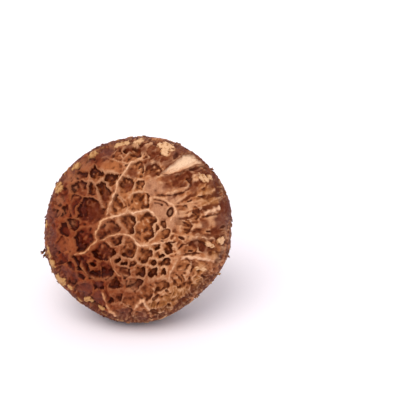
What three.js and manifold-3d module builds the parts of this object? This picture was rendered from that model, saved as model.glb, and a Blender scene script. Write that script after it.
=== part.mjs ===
// A thick-capped shiitake mushroom, picked and lying on its side: the brown cap leans on its rim and
// the stem's cut end, with the crown facing the front. Three pieces: the cap with its raised net of
// wrinkles, the pale gills under it, and the stem. Millimetres, +Z up.
import * as THREE from "three";
import { mergeVertices } from "three/addons/utils/BufferGeometryUtils.js";
import Module from "manifold-3d";

const wasm = await Module();
wasm.setup();

// The mushroom is shaped standing upright: x to the right, y away from the surface that it will lie
// on, z up along the stem to the crown, with z = 0 at the lip, the lowest ring of the rolled margin.
const CAP_RADIUS = 30;
const CROWN_HEIGHT = 24;
const WIDEST_HEIGHT = 8;
const DOME_POWER = 2.25;
const MARGIN_HALF_WIDTH = 4.8;
const MARGIN_CURL = THREE.MathUtils.degToRad(146);
const FLESH_HEIGHT = 6;
const GAP = 0.3;

// Lying down, the axis rises from the cut end to the crown by this angle.
const REST_TILT = THREE.MathUtils.degToRad(30);
const CAP_FLAT_DEPTH = 0.5;
const STEM_FLAT_DEPTH = 0.4;

// The rim's radius every 15 degrees, from +x towards +y.
const RIM_RADII = [
  29.8, 30.4, 30.4, 30.0, 30.0, 29.8, 29.3, 29.0, 29.0, 29.2, 29.3, 29.1,
  29.4, 29.9, 30.0, 29.6, 29.5, 29.8, 29.7, 29.4, 28.8, 28.6, 29.3, 30.0,
];

// Gills: long ones reach the stem, a short one stands between every two, and each blade's lower edge
// is a low arch, given as its depth's share at shares of the way from the stem to the margin.
const GILL_OUTER_RADIUS = 20.9;
const GILL_INNER_RADIUS = 9.3;
const GILL_ROOT_HEIGHT = 5;
const GILL_DEPTH = 2.4;
const LONG_GILLS = 36;
const SHORT_GILL_START = 13.5;
const GILL_ARCH = [[0, 0.25], [0.12, 0.75], [0.36, 1], [0.64, 1], [0.88, 0.8], [1, 0.3]];

// Stem radius from the gills to the cut end, each with its share of the stem's length.
const STEM_PROFILE = [
  [0, 9.0], [0.1, 8.8], [0.25, 8.2], [0.4, 8.0], [0.52, 8.3], [0.63, 9.1],
  [0.74, 9.9], [0.84, 9.9], [0.93, 9.2], [1, 8.3],
];
const STEM_BEND = new THREE.Vector2(1.4, -0.9);
const STEM_SEGMENTS = 36;

// The hollows' outlines: a wide hollow has its corners rounded, a floor is narrower than its mouth and
// rises a little in the middle, and none reaches down the steep side past its last radius.
const HOLLOW_DEPTH = 1.3;
const HOLLOW_SPREAD = 1.35;
const HOLLOW_LAST_RADIUS = 28.4;
const HOLLOW_FLOOR_SHARE = 0.84;
const HOLLOW_FLOOR_MIDDLE = 0.85;
const SHALLOWEST_HOLLOW = 0.35;
const RIDGE_HALF_WIDTH = 0.5;
const SHORTEST_EDGE = 0.8;
const ROUNDED_SIZE = 2.4;
const CORNER_CUT = 0.24;

// Hollows between the net's ridges: centre x, y, half width and depth (1 is the deepest).
const HOLLOWS = [
  // upper left
  [-8.3, 20.8, 3.5, 0.4], [-1.6, 22.9, 2.2, 0.7], [-12.0, 16.6, 2.1, 0.9], [-8.1, 14.6, 2.1, 1],
  [-16.8, 16.4, 1.8, 0.6], [-9.4, 11.0, 2.7, 1], [-3.0, 13.0, 2.6, 0.9], [-14.8, 12.1, 2.3, 0.9],
  [-18.7, 12.6, 2.0, 0.7], [-23.4, 10.5, 2.6, 0.5], [-15.2, 6.1, 4.6, 1], [-22.1, 5.7, 1.9, 0.5],
  [-16.7, 20.8, 2.2, 0.4], [-21.4, 15.6, 2.2, 0.4], [-12.5, 23.3, 2.0, 0.3], [-6.6, 25.4, 2.0, 0.3],
  // upper middle
  [1.3, 13.3, 1.4, 0.6], [0.4, 9.0, 2.4, 0.8], [-5.7, 7.0, 2.2, 0.8], [-0.4, 18.1, 2.5, 0.6],
  [5.0, 18.0, 2.6, 0.3], [4.8, 13.2, 2.0, 0],
  // left
  [-19.0, 1.9, 2.1, 0.7], [-16.5, -3.7, 3.5, 1], [-22.4, -3.7, 3.0, 0.4], [-26.0, 1.6, 2.4, 0.4],
  [-17.2, -8.8, 2.3, 0.8], [-16.4, -12.9, 2.2, 0.8], [-22.0, -9.2, 2.2, 0.5], [-21.2, -13.8, 2.2, 0.5],
  // middle
  [-9.7, -0.6, 2.2, 0.7], [-2.5, 1.9, 2.3, 0.8], [3.1, 0.8, 3.3, 0.8], [-6.0, -2.6, 2.0, 0.7],
  [-9.8, -6.8, 3.1, 0.9], [-2.4, -6.2, 2.8, 0.9], [2.9, -7.3, 2.2, 0.8], [6.1, -6.0, 1.4, 0.8],
  [9.1, -6.2, 1.8, 0.9], [7.6, -1.0, 2.0, 0.4], [11.6, -0.6, 2.0, 0.4],
  // lower
  [-10.5, -12.6, 3.1, 1], [-3.8, -11.7, 2.7, 1], [0.8, -13.0, 2.0, 0.9], [4.6, -11.9, 2.1, 0.9],
  [8.0, -10.2, 1.9, 0.8], [7.8, -13.6, 1.7, 0.7], [-1.0, -17.2, 2.5, 0.7], [-6.6, -16.8, 2.2, 0.8],
  [-11.8, -17.9, 2.0, 0.6], [-16.6, -19.0, 2.4, 0.4], [-5.4, -22.0, 2.6, 0.4], [3.6, -19.6, 2.9, 0.4],
  // right
  [10.9, 5.0, 1.2, 1], [6.4, 5.6, 2.2, 0], [15.6, 1.4, 1.9, 0.5], [18.2, 4.2, 1.7, 0.4],
  [16.0, 8.3, 1.8, 0.4], [10.6, 9.8, 2.4, 0], [14.0, -11.6, 2.2, 0.7], [13.0, -16.2, 2.6, 0.8],
  [15.2, -5.6, 2.6, 0.3], [20.4, -2.0, 2.6, 0.3], [19.6, -9.0, 2.4, 0.3], [22.4, 8.4, 2.6, 0.3],
  [14.8, 14.8, 2.8, 0.4], [9.4, -20.6, 2.6, 0.3],
];

// The thickest ridges, as points along each.
const MAIN_RIDGES = [
  [[-19.8, -6.6], [-15.4, -6.6], [-12.4, -4.0], [-12.0, 0.2], [-8.7, 3.2], [-4.6, 4.3], [0.4, 4.9],
    [5.2, 4.0]],
  [[1.0, 23.9], [-3.0, 20.8], [-3.4, 17.2], [-5.7, 14.2], [-6.7, 11.2], [-8.2, 7.7], [-9.6, 4.2]],
  [[-8.7, -1.9], [-8.3, -4.1], [-7.0, -5.9], [-6.2, -8.4], [-7.0, -11.6], [-5.6, -14.3], [-2.6, -15.0]],
  [[-4.8, 3.6], [-4.0, -0.9], [-1.2, -2.8], [0.5, -4.4], [4.4, -4.2], [8.6, -3.5], [12.6, -2.9],
    [15.3, -1.9]],
  [[14.0, -5.5], [12.0, -8.8], [11.0, -12.6], [10.2, -15.6]],
];
const RIDGE_RADIUS = 0.5;
const RIDGE_SIDES = 4;
const STEPS_PER_RIDGE_POINT = 1.6;

// The torn slit where the skin has split and shows the flesh, from its tip to its open end.
const SLIT_TIP = [8.4, 17.4];
const SLIT_END = [20.0, 22.0];
const SLIT_HALF_WIDTH = 1.5;
const SLIT_DEPTH = 0.9;
const SLIT_WIDEST = 0.72;

// Radial folds towards the margin: each row has its first and last angle in degrees, how many there
// are, and the share of the rim's radius where they start and end.
const FOLD_SEED = 7;
const FOLD_ROWS = [
  [-50, 36, 17, 0.62, 0.86],
  [58, 112, 11, 0.74, 0.93],
  [222, 308, 14, 0.76, 0.93],
];
const FOLD_HALF_WIDTH = 0.45;
const FOLD_DEPTH = 0.75;
const FOLD_START_SPREAD = 0.1;
const FOLD_END_SPREAD = 0.07;
const FOLD_SLANT = 0.08;

// A cut starts above the surface, by this much, and a furrow's edges lie a little above it.
const CUT_HEADROOM = 1;
const FURROW_LIFT = 0.15;

const FULL_TURN = 2 * Math.PI;

function seededRandom(seed) {
  let state = seed;
  return () => {
    state = (state * 1664525 + 1013904223) % 4294967296;
    return state / 4294967296;
  };
}

// How much wider or narrower the rim is than a circle at an angle, as a smooth closed curve.
function rimShare(angle) {
  const count = RIM_RADII.length;
  const place = (((angle / FULL_TURN) % 1) + 1) % 1 * count;
  const index = Math.floor(place);
  const [a, b, c, d] = [-1, 0, 1, 2].map((step) => RIM_RADII[(index + step + count) % count]);
  const t = place - index;
  const curve = b + 0.5 * t * (c - a + t * (2 * a - 5 * b + 4 * c - d + t * (3 * (b - c) + d - a)));
  return curve / CAP_RADIUS;
}

// Points on the true circle of a lathe move to the mushroom's uneven outline, more so near the rim.
function toOutline(x, y) {
  const reach = Math.hypot(x, y) / CAP_RADIUS;
  const share = 1 + (rimShare(Math.atan2(y, x)) - 1) * Math.min(1, reach * reach);
  return [x * share, y * share];
}

function domeHeight(radius) {
  const share = Math.min(1, radius / CAP_RADIUS);
  const rise = CROWN_HEIGHT - WIDEST_HEIGHT;
  return WIDEST_HEIGHT + rise * (1 - share ** DOME_POWER) ** (1 / DOME_POWER);
}

function onDome(x, y) {
  const [px, py] = toOutline(x, y);
  return new THREE.Vector3(px, py, domeHeight(Math.hypot(x, y)));
}

function domeNormal(x, y) {
  const step = 0.05;
  const inward = 1 - step / Math.max(1, Math.hypot(x, y));
  const [cx, cy] = [x * inward, y * inward];
  const alongX = onDome(cx + step, cy).sub(onDome(cx - step, cy));
  const alongY = onDome(cx, cy + step).sub(onDome(cx, cy - step));
  return alongX.cross(alongY).normalize();
}

function aboveDome([x, y], height) {
  return onDome(x, y).addScaledVector(domeNormal(x, y), height);
}

function solidOf(geometry) {
  const bare = new THREE.BufferGeometry();
  bare.setAttribute("position", geometry.getAttribute("position"));
  if (geometry.index) bare.setIndex(geometry.index);
  const merged = mergeVertices(bare, 1e-4);
  return new wasm.Manifold(
    new wasm.Mesh({
      numProp: 3,
      vertProperties: merged.getAttribute("position").array,
      triVerts: new Uint32Array(merged.index.array),
    }),
  );
}

function geometryOf(solid) {
  const mesh = solid.getMesh();
  const geometry = new THREE.BufferGeometry();
  geometry.setAttribute("position", new THREE.BufferAttribute(mesh.vertProperties, 3));
  geometry.setIndex(new THREE.BufferAttribute(mesh.triVerts, 1));
  geometry.computeVertexNormals();
  return geometry;
}

// Where cuts cross, a crumb of the surface can come loose between them, and it is dropped.
function largest(solid) {
  return solid.decompose().reduce((best, piece) => (piece.volume() > best.volume() ? piece : best));
}

// A closed solid between two rings of as many points, each ring closed by a fan from its centre.
function plugOf(topCentre, topRing, floorCentre, floorRing) {
  const count = topRing.length;
  const points = [topCentre, floorCentre, ...topRing, ...floorRing];
  const faces = [];
  for (let i = 0; i < count; i++) {
    const next = (i + 1) % count;
    const [top, topNext] = [2 + i, 2 + next];
    const [floor, floorNext] = [2 + count + i, 2 + count + next];
    faces.push(0, top, topNext, 1, floorNext, floor);
    faces.push(top, floor, floorNext, top, floorNext, topNext);
  }
  const geometry = new THREE.BufferGeometry().setFromPoints(points);
  geometry.setIndex(faces);
  return solidOf(geometry);
}

// Turned about z: the profile's points are [radius, height].
function turned(profile, segments) {
  const points = profile.map(([radius, height]) => new THREE.Vector2(radius, height));
  return new THREE.LatheGeometry(points, segments).rotateX(Math.PI / 2);
}

function movePoints(geometry, move) {
  const position = geometry.getAttribute("position");
  const point = new THREE.Vector3();
  for (let i = 0; i < position.count; i++) {
    point.fromBufferAttribute(position, i);
    move(point);
    position.setXYZ(i, point.x, point.y, point.z);
  }
  return geometry;
}

// Cap: flesh and brown skin in one, with a domed crown and a margin that rolls under to the lip.
const CAP_SEGMENTS = 60;
const DOME_STEPS = 11;
const MARGIN_STEPS = 8;

function capBody() {
  const profile = [];
  for (let i = DOME_STEPS; i > 0; i--) {
    const turn = (i / DOME_STEPS) * (Math.PI / 2);
    const radius = CAP_RADIUS * Math.sin(turn) ** (2 / DOME_POWER);
    profile.push([radius, domeHeight(radius)]);
  }
  profile.push([0, CROWN_HEIGHT]);
  const margin = [];
  for (let i = 1; i <= MARGIN_STEPS; i++) {
    const turn = (i / MARGIN_STEPS) * MARGIN_CURL;
    const centre = CAP_RADIUS - MARGIN_HALF_WIDTH;
    margin.unshift([
      centre + MARGIN_HALF_WIDTH * Math.cos(turn),
      WIDEST_HEIGHT * (1 - Math.sin(turn)),
    ]);
  }
  const socket = [[0, FLESH_HEIGHT], [GILL_OUTER_RADIUS + GAP, FLESH_HEIGHT]];
  const body = turned([...socket, ...margin, ...profile], CAP_SEGMENTS);
  return solidOf(
    movePoints(body, (point) => {
      [point.x, point.y] = toOutline(point.x, point.y);
    }),
  );
}

// The part of a square that lies nearer to one hollow than to the others, less half a ridge.
function hollowOutline(index) {
  const [x, y, size] = HOLLOWS[index];
  const reach = size * HOLLOW_SPREAD;
  let outline = [[-1, -1], [1, -1], [1, 1], [-1, 1]].map(([a, b]) => [x + a * reach, y + b * reach]);
  HOLLOWS.forEach(([otherX, otherY, otherSize], other) => {
    if (other === index) return;
    const away = [otherX - x, otherY - y];
    const distance = Math.hypot(...away);
    const border = (distance ** 2 + size ** 2 - otherSize ** 2) / (2 * distance) - RIDGE_HALF_WIDTH;
    const beyond = ([px, py]) => ((px - x) * away[0] + (py - y) * away[1]) / distance - border;
    const kept = [];
    outline.forEach((point, i) => {
      const next = outline[(i + 1) % outline.length];
      const [here, there] = [beyond(point), beyond(next)];
      if (here <= 0) kept.push(point);
      if (here < 0 !== there < 0) {
        const t = here / (here - there);
        kept.push([point[0] + t * (next[0] - point[0]), point[1] + t * (next[1] - point[1])]);
      }
    });
    outline = kept;
  });
  return outline.map(([px, py]) => {
    const share = Math.min(1, HOLLOW_LAST_RADIUS / Math.hypot(px, py));
    return [px * share, py * share];
  });
}

// Each corner of a wide hollow is cut off once, so that its outline is rounded. An edge too short to
// show is merged into its next corner.
function rounded(outline, size) {
  const clear = outline.filter((point, i) => {
    const next = outline[(i + 1) % outline.length];
    return Math.hypot(next[0] - point[0], next[1] - point[1]) > SHORTEST_EDGE;
  });
  if (size < ROUNDED_SIZE) return clear;
  return clear.flatMap((point, i) => {
    const next = clear[(i + 1) % clear.length];
    return [CORNER_CUT, 1 - CORNER_CUT].map((share) => mixed(point, next, share));
  });
}

function mixed(from, to, share) {
  return from.map((value, axis) => value + share * (to[axis] - value));
}

function hollowPlug(index) {
  const [, , size, depthShare] = HOLLOWS[index];
  const outline = rounded(hollowOutline(index), size);
  const sum = outline.reduce(([sx, sy], [px, py]) => [sx + px, sy + py], [0, 0]);
  const middle = sum.map((value) => value / outline.length);
  const floor = outline.map((point) => mixed(middle, point, HOLLOW_FLOOR_SHARE));
  const depth = HOLLOW_DEPTH * depthShare;
  return plugOf(
    aboveDome(middle, CUT_HEADROOM),
    outline.map((point) => aboveDome(point, CUT_HEADROOM)),
    aboveDome(middle, -depth * HOLLOW_FLOOR_MIDDLE),
    floor.map((point) => aboveDome(point, -depth)),
  );
}

// A boat-shaped furrow along the dome from one point to another, widest at a share of its length.
function furrow(from, to, halfWidth, depth, widest) {
  const middle = mixed(from, to, widest);
  const rim = aboveDome(middle, FURROW_LIFT);
  const [start, end] = [from, to].map((point) => aboveDome(point, FURROW_LIFT));
  const side = end.clone().sub(start).cross(domeNormal(...middle)).setLength(halfWidth);
  const corners = [start, rim.clone().add(side), end, rim.clone().sub(side)];
  const points = [aboveDome(middle, CUT_HEADROOM), aboveDome(middle, -depth), ...corners];
  const faces = corners.flatMap((_, i) => {
    const [here, next] = [2 + i, 2 + ((i + 1) % corners.length)];
    return [0, here, next, 1, next, here];
  });
  const geometry = new THREE.BufferGeometry().setFromPoints(points);
  geometry.setIndex(faces);
  return solidOf(geometry);
}

function radialFolds() {
  const random = seededRandom(FOLD_SEED);
  const along = (radius, turn) => [radius * Math.cos(turn), radius * Math.sin(turn)];
  return FOLD_ROWS.flatMap(([first, last, count, near, far]) =>
    Array.from({ length: count }, (_, i) => {
      const place = (i + THREE.MathUtils.lerp(0.3, 0.7, random())) / count;
      const angle = THREE.MathUtils.degToRad(THREE.MathUtils.lerp(first, last, place));
      const start = CAP_RADIUS * (near + FOLD_START_SPREAD * random());
      const end = CAP_RADIUS * (far + FOLD_END_SPREAD * random());
      const endAngle = angle + FOLD_SLANT * (random() - 0.5);
      const depth = FOLD_DEPTH * THREE.MathUtils.lerp(0.7, 1.2, random());
      return furrow(along(start, angle), along(end, endAngle), FOLD_HALF_WIDTH, depth, 0.5);
    }),
  );
}

function ridgeCord(points) {
  const path = new THREE.CatmullRomCurve3(points.map(([x, y]) => onDome(x, y)));
  const corners = Array.from({ length: RIDGE_SIDES }, (_, i) => {
    const turn = (i / RIDGE_SIDES) * FULL_TURN;
    return new THREE.Vector2(RIDGE_RADIUS * Math.cos(turn), RIDGE_RADIUS * Math.sin(turn));
  });
  const steps = Math.round(points.length * STEPS_PER_RIDGE_POINT);
  const settings = { steps, extrudePath: path, bevelEnabled: false };
  return solidOf(new THREE.ExtrudeGeometry(new THREE.Shape(corners), settings));
}

function capSolid() {
  const cuts = radialFolds();
  cuts.push(furrow(SLIT_TIP, SLIT_END, SLIT_HALF_WIDTH, SLIT_DEPTH, SLIT_WIDEST));
  HOLLOWS.forEach(([, , , depthShare], index) => {
    if (depthShare >= SHALLOWEST_HOLLOW) cuts.push(hollowPlug(index));
  });
  const ridges = wasm.Manifold.union(MAIN_RIDGES.map(ridgeCord));
  return largest(capBody().subtract(wasm.Manifold.union(cuts)).add(ridges));
}

// Gills: pale blades that hang under the flesh, in one pleated ring round the stem.
function gillSolid() {
  const top = FLESH_HEIGHT - GAP;
  const lower = GILL_ARCH.map(([share]) => [
    THREE.MathUtils.lerp(GILL_INNER_RADIUS, GILL_OUTER_RADIUS, share),
    GILL_ROOT_HEIGHT,
  ]);
  const upper = [[GILL_OUTER_RADIUS, top], [GILL_INNER_RADIUS, top]];
  const segments = LONG_GILLS * 4;
  const ring = turned([...lower, ...upper, lower[0]], segments);
  return solidOf(
    movePoints(ring, (point) => {
      const radius = Math.hypot(point.x, point.y);
      const turn = Math.atan2(point.y, point.x) / FULL_TURN;
      const place = Math.round((turn + 1) * segments) % 4;
      const isBlade = place === 0 || (place === 2 && radius > SHORT_GILL_START);
      const band = lower.findIndex(([r, height]) => nearly(radius, r) && nearly(point.z, height));
      if (isBlade && band >= 0) point.z -= GILL_DEPTH * GILL_ARCH[band][1];
      [point.x, point.y] = toOutline(point.x, point.y);
    }),
  );
}

function nearly(a, b) {
  return Math.abs(a - b) < 0.001;
}

// Stem: firm and pale, narrow in the middle and swollen above the plain cut end.
const STEM_TOP = FLESH_HEIGHT - GAP;

// How far the cut end is below the lip for the stem's lower edge and the cap's rim to reach one plane.
function stemReach() {
  const [cos, sin] = [Math.cos(REST_TILT), Math.sin(REST_TILT)];
  const rimRadius = CAP_RADIUS * rimShare(-Math.PI / 2) - MARGIN_HALF_WIDTH;
  const rimSupport = Math.hypot(MARGIN_HALF_WIDTH * cos, WIDEST_HEIGHT * sin);
  const rimDrop = rimRadius * cos - WIDEST_HEIGHT * sin + rimSupport - CAP_FLAT_DEPTH;
  const endRadius = STEM_PROFILE.at(-1)[1] - STEM_BEND.y;
  return { rimDrop, length: (rimDrop + STEM_FLAT_DEPTH - endRadius * cos) / sin };
}

function stemSolid(reach) {
  const length = STEM_TOP + reach;
  const profile = STEM_PROFILE.map(([share, radius]) => [radius, STEM_TOP - share * length]);
  const stem = turned([[0, -reach], ...profile.reverse(), [0, STEM_TOP]], STEM_SEGMENTS);
  return solidOf(
    movePoints(stem, (point) => {
      const share = (STEM_TOP - point.z) / length;
      point.x += STEM_BEND.x * share ** 2;
      point.y += STEM_BEND.y * share ** 2;
    }),
  );
}

// Everything under the surface that the mushroom lies on, in the upright mushroom's own frame.
function belowSurface(rimDrop) {
  const size = 200;
  const slab = new THREE.BoxGeometry(size, size, size).translate(0, 0, -size / 2 - rimDrop);
  return solidOf(slab.rotateX(REST_TILT - Math.PI / 2));
}

const { rimDrop, length: reach } = stemReach();
const surface = belowSurface(rimDrop);

const capMaterial = new THREE.MeshStandardMaterial({ color: 0x8f5233, roughness: 0.65, metalness: 0 });
const gillMaterial = new THREE.MeshStandardMaterial({ color: 0xf3e8cd, roughness: 0.8, metalness: 0 });
const stemMaterial = new THREE.MeshStandardMaterial({ color: 0xcfa578, roughness: 0.8, metalness: 0 });

const cap = new THREE.Mesh(geometryOf(capSolid().subtract(surface)), capMaterial);
cap.name = "cap";
const gills = new THREE.Mesh(geometryOf(gillSolid()), gillMaterial);
gills.name = "gills";
const stem = new THREE.Mesh(geometryOf(stemSolid(reach).subtract(surface)), stemMaterial);
stem.name = "stem";

// Laid down with the crown to the front, then centred over the origin with its foot at z = 0.
const laidDown = new THREE.Group();
laidDown.rotation.x = Math.PI / 2 - REST_TILT;
laidDown.add(cap, gills, stem);

const mushroom = new THREE.Group();
mushroom.add(laidDown);
mushroom.updateMatrixWorld(true);
const bounds = new THREE.Box3().setFromObject(mushroom, true);
const middle = bounds.getCenter(new THREE.Vector3());
laidDown.position.set(-middle.x, -middle.y, -bounds.min.z);

export default mushroom;
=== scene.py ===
import math
from random import Random

import bmesh
import bpy
import numpy as np
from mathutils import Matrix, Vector, noise


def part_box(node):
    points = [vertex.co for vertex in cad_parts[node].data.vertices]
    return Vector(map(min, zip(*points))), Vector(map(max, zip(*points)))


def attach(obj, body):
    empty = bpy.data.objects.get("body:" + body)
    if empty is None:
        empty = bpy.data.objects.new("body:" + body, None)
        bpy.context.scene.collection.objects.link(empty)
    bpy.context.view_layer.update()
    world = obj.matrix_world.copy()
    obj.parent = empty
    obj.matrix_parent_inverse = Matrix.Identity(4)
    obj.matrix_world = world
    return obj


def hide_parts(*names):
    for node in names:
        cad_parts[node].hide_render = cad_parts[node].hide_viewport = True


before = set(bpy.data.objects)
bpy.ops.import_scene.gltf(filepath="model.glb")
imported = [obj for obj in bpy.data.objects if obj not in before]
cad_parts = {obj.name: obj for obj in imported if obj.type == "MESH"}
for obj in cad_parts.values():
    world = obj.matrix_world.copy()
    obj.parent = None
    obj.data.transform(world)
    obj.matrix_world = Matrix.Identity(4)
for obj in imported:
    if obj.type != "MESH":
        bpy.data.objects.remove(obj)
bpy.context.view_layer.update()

# Cap
# One thick dome of flesh under a thin brown skin, with a margin that rolls under to the lip. As it
# dried, the skin shrank into a raised net of wrinkles round sunken hollows. It is shaped upright in
# millimetres, lip at z = 0 and crown up, and is then laid down as it leans on its rim and stem.
MM = 0.001
REST_TILT = math.radians(30)
CAP_RADIUS = 30.0
CROWN_HEIGHT = 24.0
WIDEST_HEIGHT = 8.0
DOME_POWER = 2.25
MARGIN_HALF_WIDTH = 4.8
MARGIN_CURL = math.radians(146)
FLESH_HEIGHT = 6.0
SOCKET_RADIUS = 21.2
GILL_OUTER_RADIUS = 20.9
GILL_TOP = 5.7
DOME_CELLS = 260
MARGIN_RINGS = 28

# the rim's radius, every 15 degrees
RIM_RADII = [
    29.8, 30.4, 30.4, 30.0, 30.0, 29.8, 29.3, 29.0, 29.0, 29.2, 29.3, 29.1,
    29.4, 29.9, 30.0, 29.6, 29.5, 29.8, 29.7, 29.4, 28.8, 28.6, 29.3, 30.0,
]

# Each hollow has its depth, from 1 for the deepest to 0 for a flat, and the round lobes that make
# up its outline: centre x, centre y and half width.
HOLLOW_DEPTH = 1.5
HOLLOW_SPREAD = 2.1
STEEP_FROM = (-9.0, 1.0)
CORNER_ROUNDING = 0.3
FAN_FROM = (3.0, 3.0)
HOLLOWS = [
    # upper left
    (0.9, (-13.0, 17.7, 1.5), (-11.4, 17.0, 1.3), (-13.2, 15.6, 1.3)),
    (1.0, (-8.2, 15.6, 1.6), (-8.0, 13.4, 1.6)),
    (1.0, (-11.3, 13.2, 1.2), (-9.8, 11.3, 1.9), (-9.3, 9.4, 1.6)),
    (0.9, (-13.8, 13.2, 1.4), (-13.3, 11.2, 1.6), (-12.5, 9.4, 1.1)),
    (0.8, (-18.7, 13.6, 1.3), (-16.8, 14.0, 1.4), (-16.5, 12.3, 1.2)),
    (0.6, (-19.0, 8.2, 1.6), (-19.4, 5.6, 1.6)),
    (1.0, (-16.4, 6.6, 2.4), (-13.6, 7.0, 2.5), (-10.9, 5.6, 2.1), (-13.6, 4.0, 2.5), (-16.6, 4.2, 2.0),
     (-11.4, 3.6, 1.4)),
    (0.7, (-17.9, 17.0, 0.9), (-16.4, 16.5, 0.9)),
    (0.35, (-22.8, 10.8, 1.6), (-23.0, 8.8, 1.5)),
    (0.6, (-22.1, 6.3, 1.2)),
    (0.5, (-25.1, 4.9, 0.6)),
    (0.4, (-21.6, 16.2, 1.6)),
    (0.4, (-16.8, 20.4, 1.7)),
    (0.25, (-10.2, 20.3, 1.8), (-7.4, 19.8, 1.8)),
    (0.4, (-9.5, 24.4, 1.6)),
    (0.4, (-6.1, 22.5, 1.4)),
    # upper middle
    (0.9, (-4.4, 14.3, 1.6), (-2.6, 14.4, 1.5), (-3.4, 12.2, 1.8), (-3.2, 10.8, 1.0)),
    (0.8, (-5.8, 8.6, 1.2), (-6.6, 6.9, 1.1), (-5.0, 6.9, 1.2)),
    (0.8, (-0.6, 9.2, 1.3), (1.4, 9.4, 1.5), (-0.4, 7.4, 1.4), (1.8, 7.2, 1.3)),
    (0.6, (-0.6, 19.2, 1.4), (0.4, 17.6, 1.5), (-1.6, 17.6, 1.2)),
    (0.8, (-2.4, 23.6, 1.1), (-1.4, 22.4, 1.0), (-0.6, 24.0, 1.0)),
    (0.6, (1.0, 13.2, 1.3)),
    (0.5, (5.2, 17.5, 1.3)),
    (0.0, (4.8, 13.4, 2.2)),
    (0.0, (6.6, 6.4, 2.0)),
    # left
    (0.8, (-19.2, 1.7, 1.3), (-17.2, 2.1, 1.2)),
    (1.0, (-16.2, -1.8, 2.0), (-17.6, -4.0, 1.9), (-15.2, -4.0, 2.0), (-16.6, -5.8, 1.5)),
    (0.7, (-22.0, -0.9, 1.3), (-20.6, -2.0, 0.9)),
    (0.3, (-22.6, -4.6, 2.2), (-20.2, -5.2, 1.5)),
    (0.3, (-26.6, -2.5, 1.6)),
    (0.3, (-26.8, 1.0, 1.4)),
    (1.0, (-17.8, -9.0, 1.4), (-15.8, -9.2, 1.3), (-16.4, -11.8, 1.3), (-15.6, -13.1, 0.7)),
    (0.5, (-22.8, -8.9, 1.5)),
    (0.6, (-20.5, -11.2, 1.2)),
    (0.35, (-22.4, -13.4, 1.7)),
    (0.8, (-17.2, -14.4, 0.5)),
    (0.6, (-19.5, -15.6, 0.9)),
    (0.35, (-15.9, -18.6, 2.1)),
    (0.7, (-12.2, -17.6, 1.2)),
    (0.35, (-12.1, -21.5, 1.6)),
    # middle
    (0.7, (-10.3, -0.6, 1.3), (-8.3, 0.6, 1.5), (-7.0, -0.2, 1.2)),
    (0.8, (-3.3, 2.8, 1.3), (-1.7, 1.9, 1.5), (-1.5, 0.2, 1.1)),
    (0.9, (2.4, 3.2, 1.9), (4.2, 2.4, 1.8), (2.0, 0.2, 1.9), (3.9, -0.6, 1.6), (1.6, -2.0, 1.2)),
    (0.8, (-6.9, -3.3, 1.2), (-5.4, -3.2, 1.1)),
    (0.8, (-2.9, -3.9, 1.3), (-1.5, -5.4, 1.3), (-3.5, -6.6, 1.4), (-1.7, -7.6, 1.3)),
    (0.9, (-11.3, -7.2, 1.5), (-9.3, -5.8, 1.3), (-9.6, -8.2, 1.6), (-7.7, -7.0, 1.2)),
    (0.8, (2.5, -6.9, 1.5), (2.3, -9.0, 1.6), (3.8, -8.0, 1.1)),
    (0.9, (6.1, -5.8, 1.15)),
    (0.9, (8.8, -5.6, 1.1), (9.7, -6.4, 1.0)),
    (0.8, (6.8, -8.1, 0.9), (8.0, -8.2, 0.8)),
    (0.8, (7.8, -10.7, 0.9), (9.0, -10.5, 0.9)),
    (0.9, (4.7, -10.3, 1.0)),
    (0.6, (5.9, 0.1, 0.9)),
    (0.5, (7.9, 1.2, 0.8)),
    (0.5, (7.8, -1.4, 1.3)),
    # lower
    (0.9, (-13.2, -13.6, 1.4), (-12.8, -12.2, 0.9)),
    (1.0, (-13.1, -11.0, 0.7)),
    (1.0, (-9.6, -10.9, 1.3), (-9.2, -13.0, 1.5), (-8.0, -11.8, 1.0)),
    (0.9, (-5.8, -9.4, 0.7)),
    (0.9, (-3.8, -10.3, 0.9)),
    (0.9, (-1.0, -10.4, 1.0)),
    (0.9, (-4.3, -12.5, 1.1), (-3.0, -13.1, 1.2)),
    (1.0, (4.5, -12.4, 1.0), (5.6, -12.9, 1.1), (4.9, -13.6, 0.8)),
    (0.8, (0.3, -12.8, 1.2), (2.0, -12.9, 1.2)),
    (0.8, (7.9, -12.9, 0.8), (8.9, -13.8, 0.4)),
    (0.9, (-6.6, -16.0, 1.1), (-6.2, -17.6, 1.0)),
    (0.8, (-1.4, -16.4, 1.3), (0.3, -16.6, 1.3), (-0.6, -17.7, 1.0)),
    (0.5, (-8.2, -20.5, 1.3)),
    (0.5, (-5.4, -20.6, 1.5)),
    (0.4, (-2.6, -21.8, 1.6)),
    (0.4, (2.8, -19.4, 1.5)),
    (0.5, (6.6, -17.4, 1.3), (8.6, -17.2, 1.1)),
    (0.4, (-4.6, -25.2, 1.6)),
    # right
    (0.5, (13.2, -11.2, 1.1), (14.7, -11.2, 1.0)),
    (0.4, (11.7, -14.7, 1.0), (13.0, -16.0, 1.1), (14.1, -17.1, 0.9)),
    (0.2, (14.6, 5.0, 1.3)),
    (0.4, (17.8, 4.8, 1.2)),
    (0.4, (14.9, 1.1, 1.3)),
    (0.2, (23.0, 2.1, 1.6)),
    (0.4, (15.2, -5.6, 1.2), (17.0, -6.2, 1.2)),
    (0.6, (19.5, -4.4, 1.3)),
    (0.6, (10.4, 13.6, 1.0), (12.8, 14.3, 1.2), (15.4, 15.4, 1.2)),
]

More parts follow.
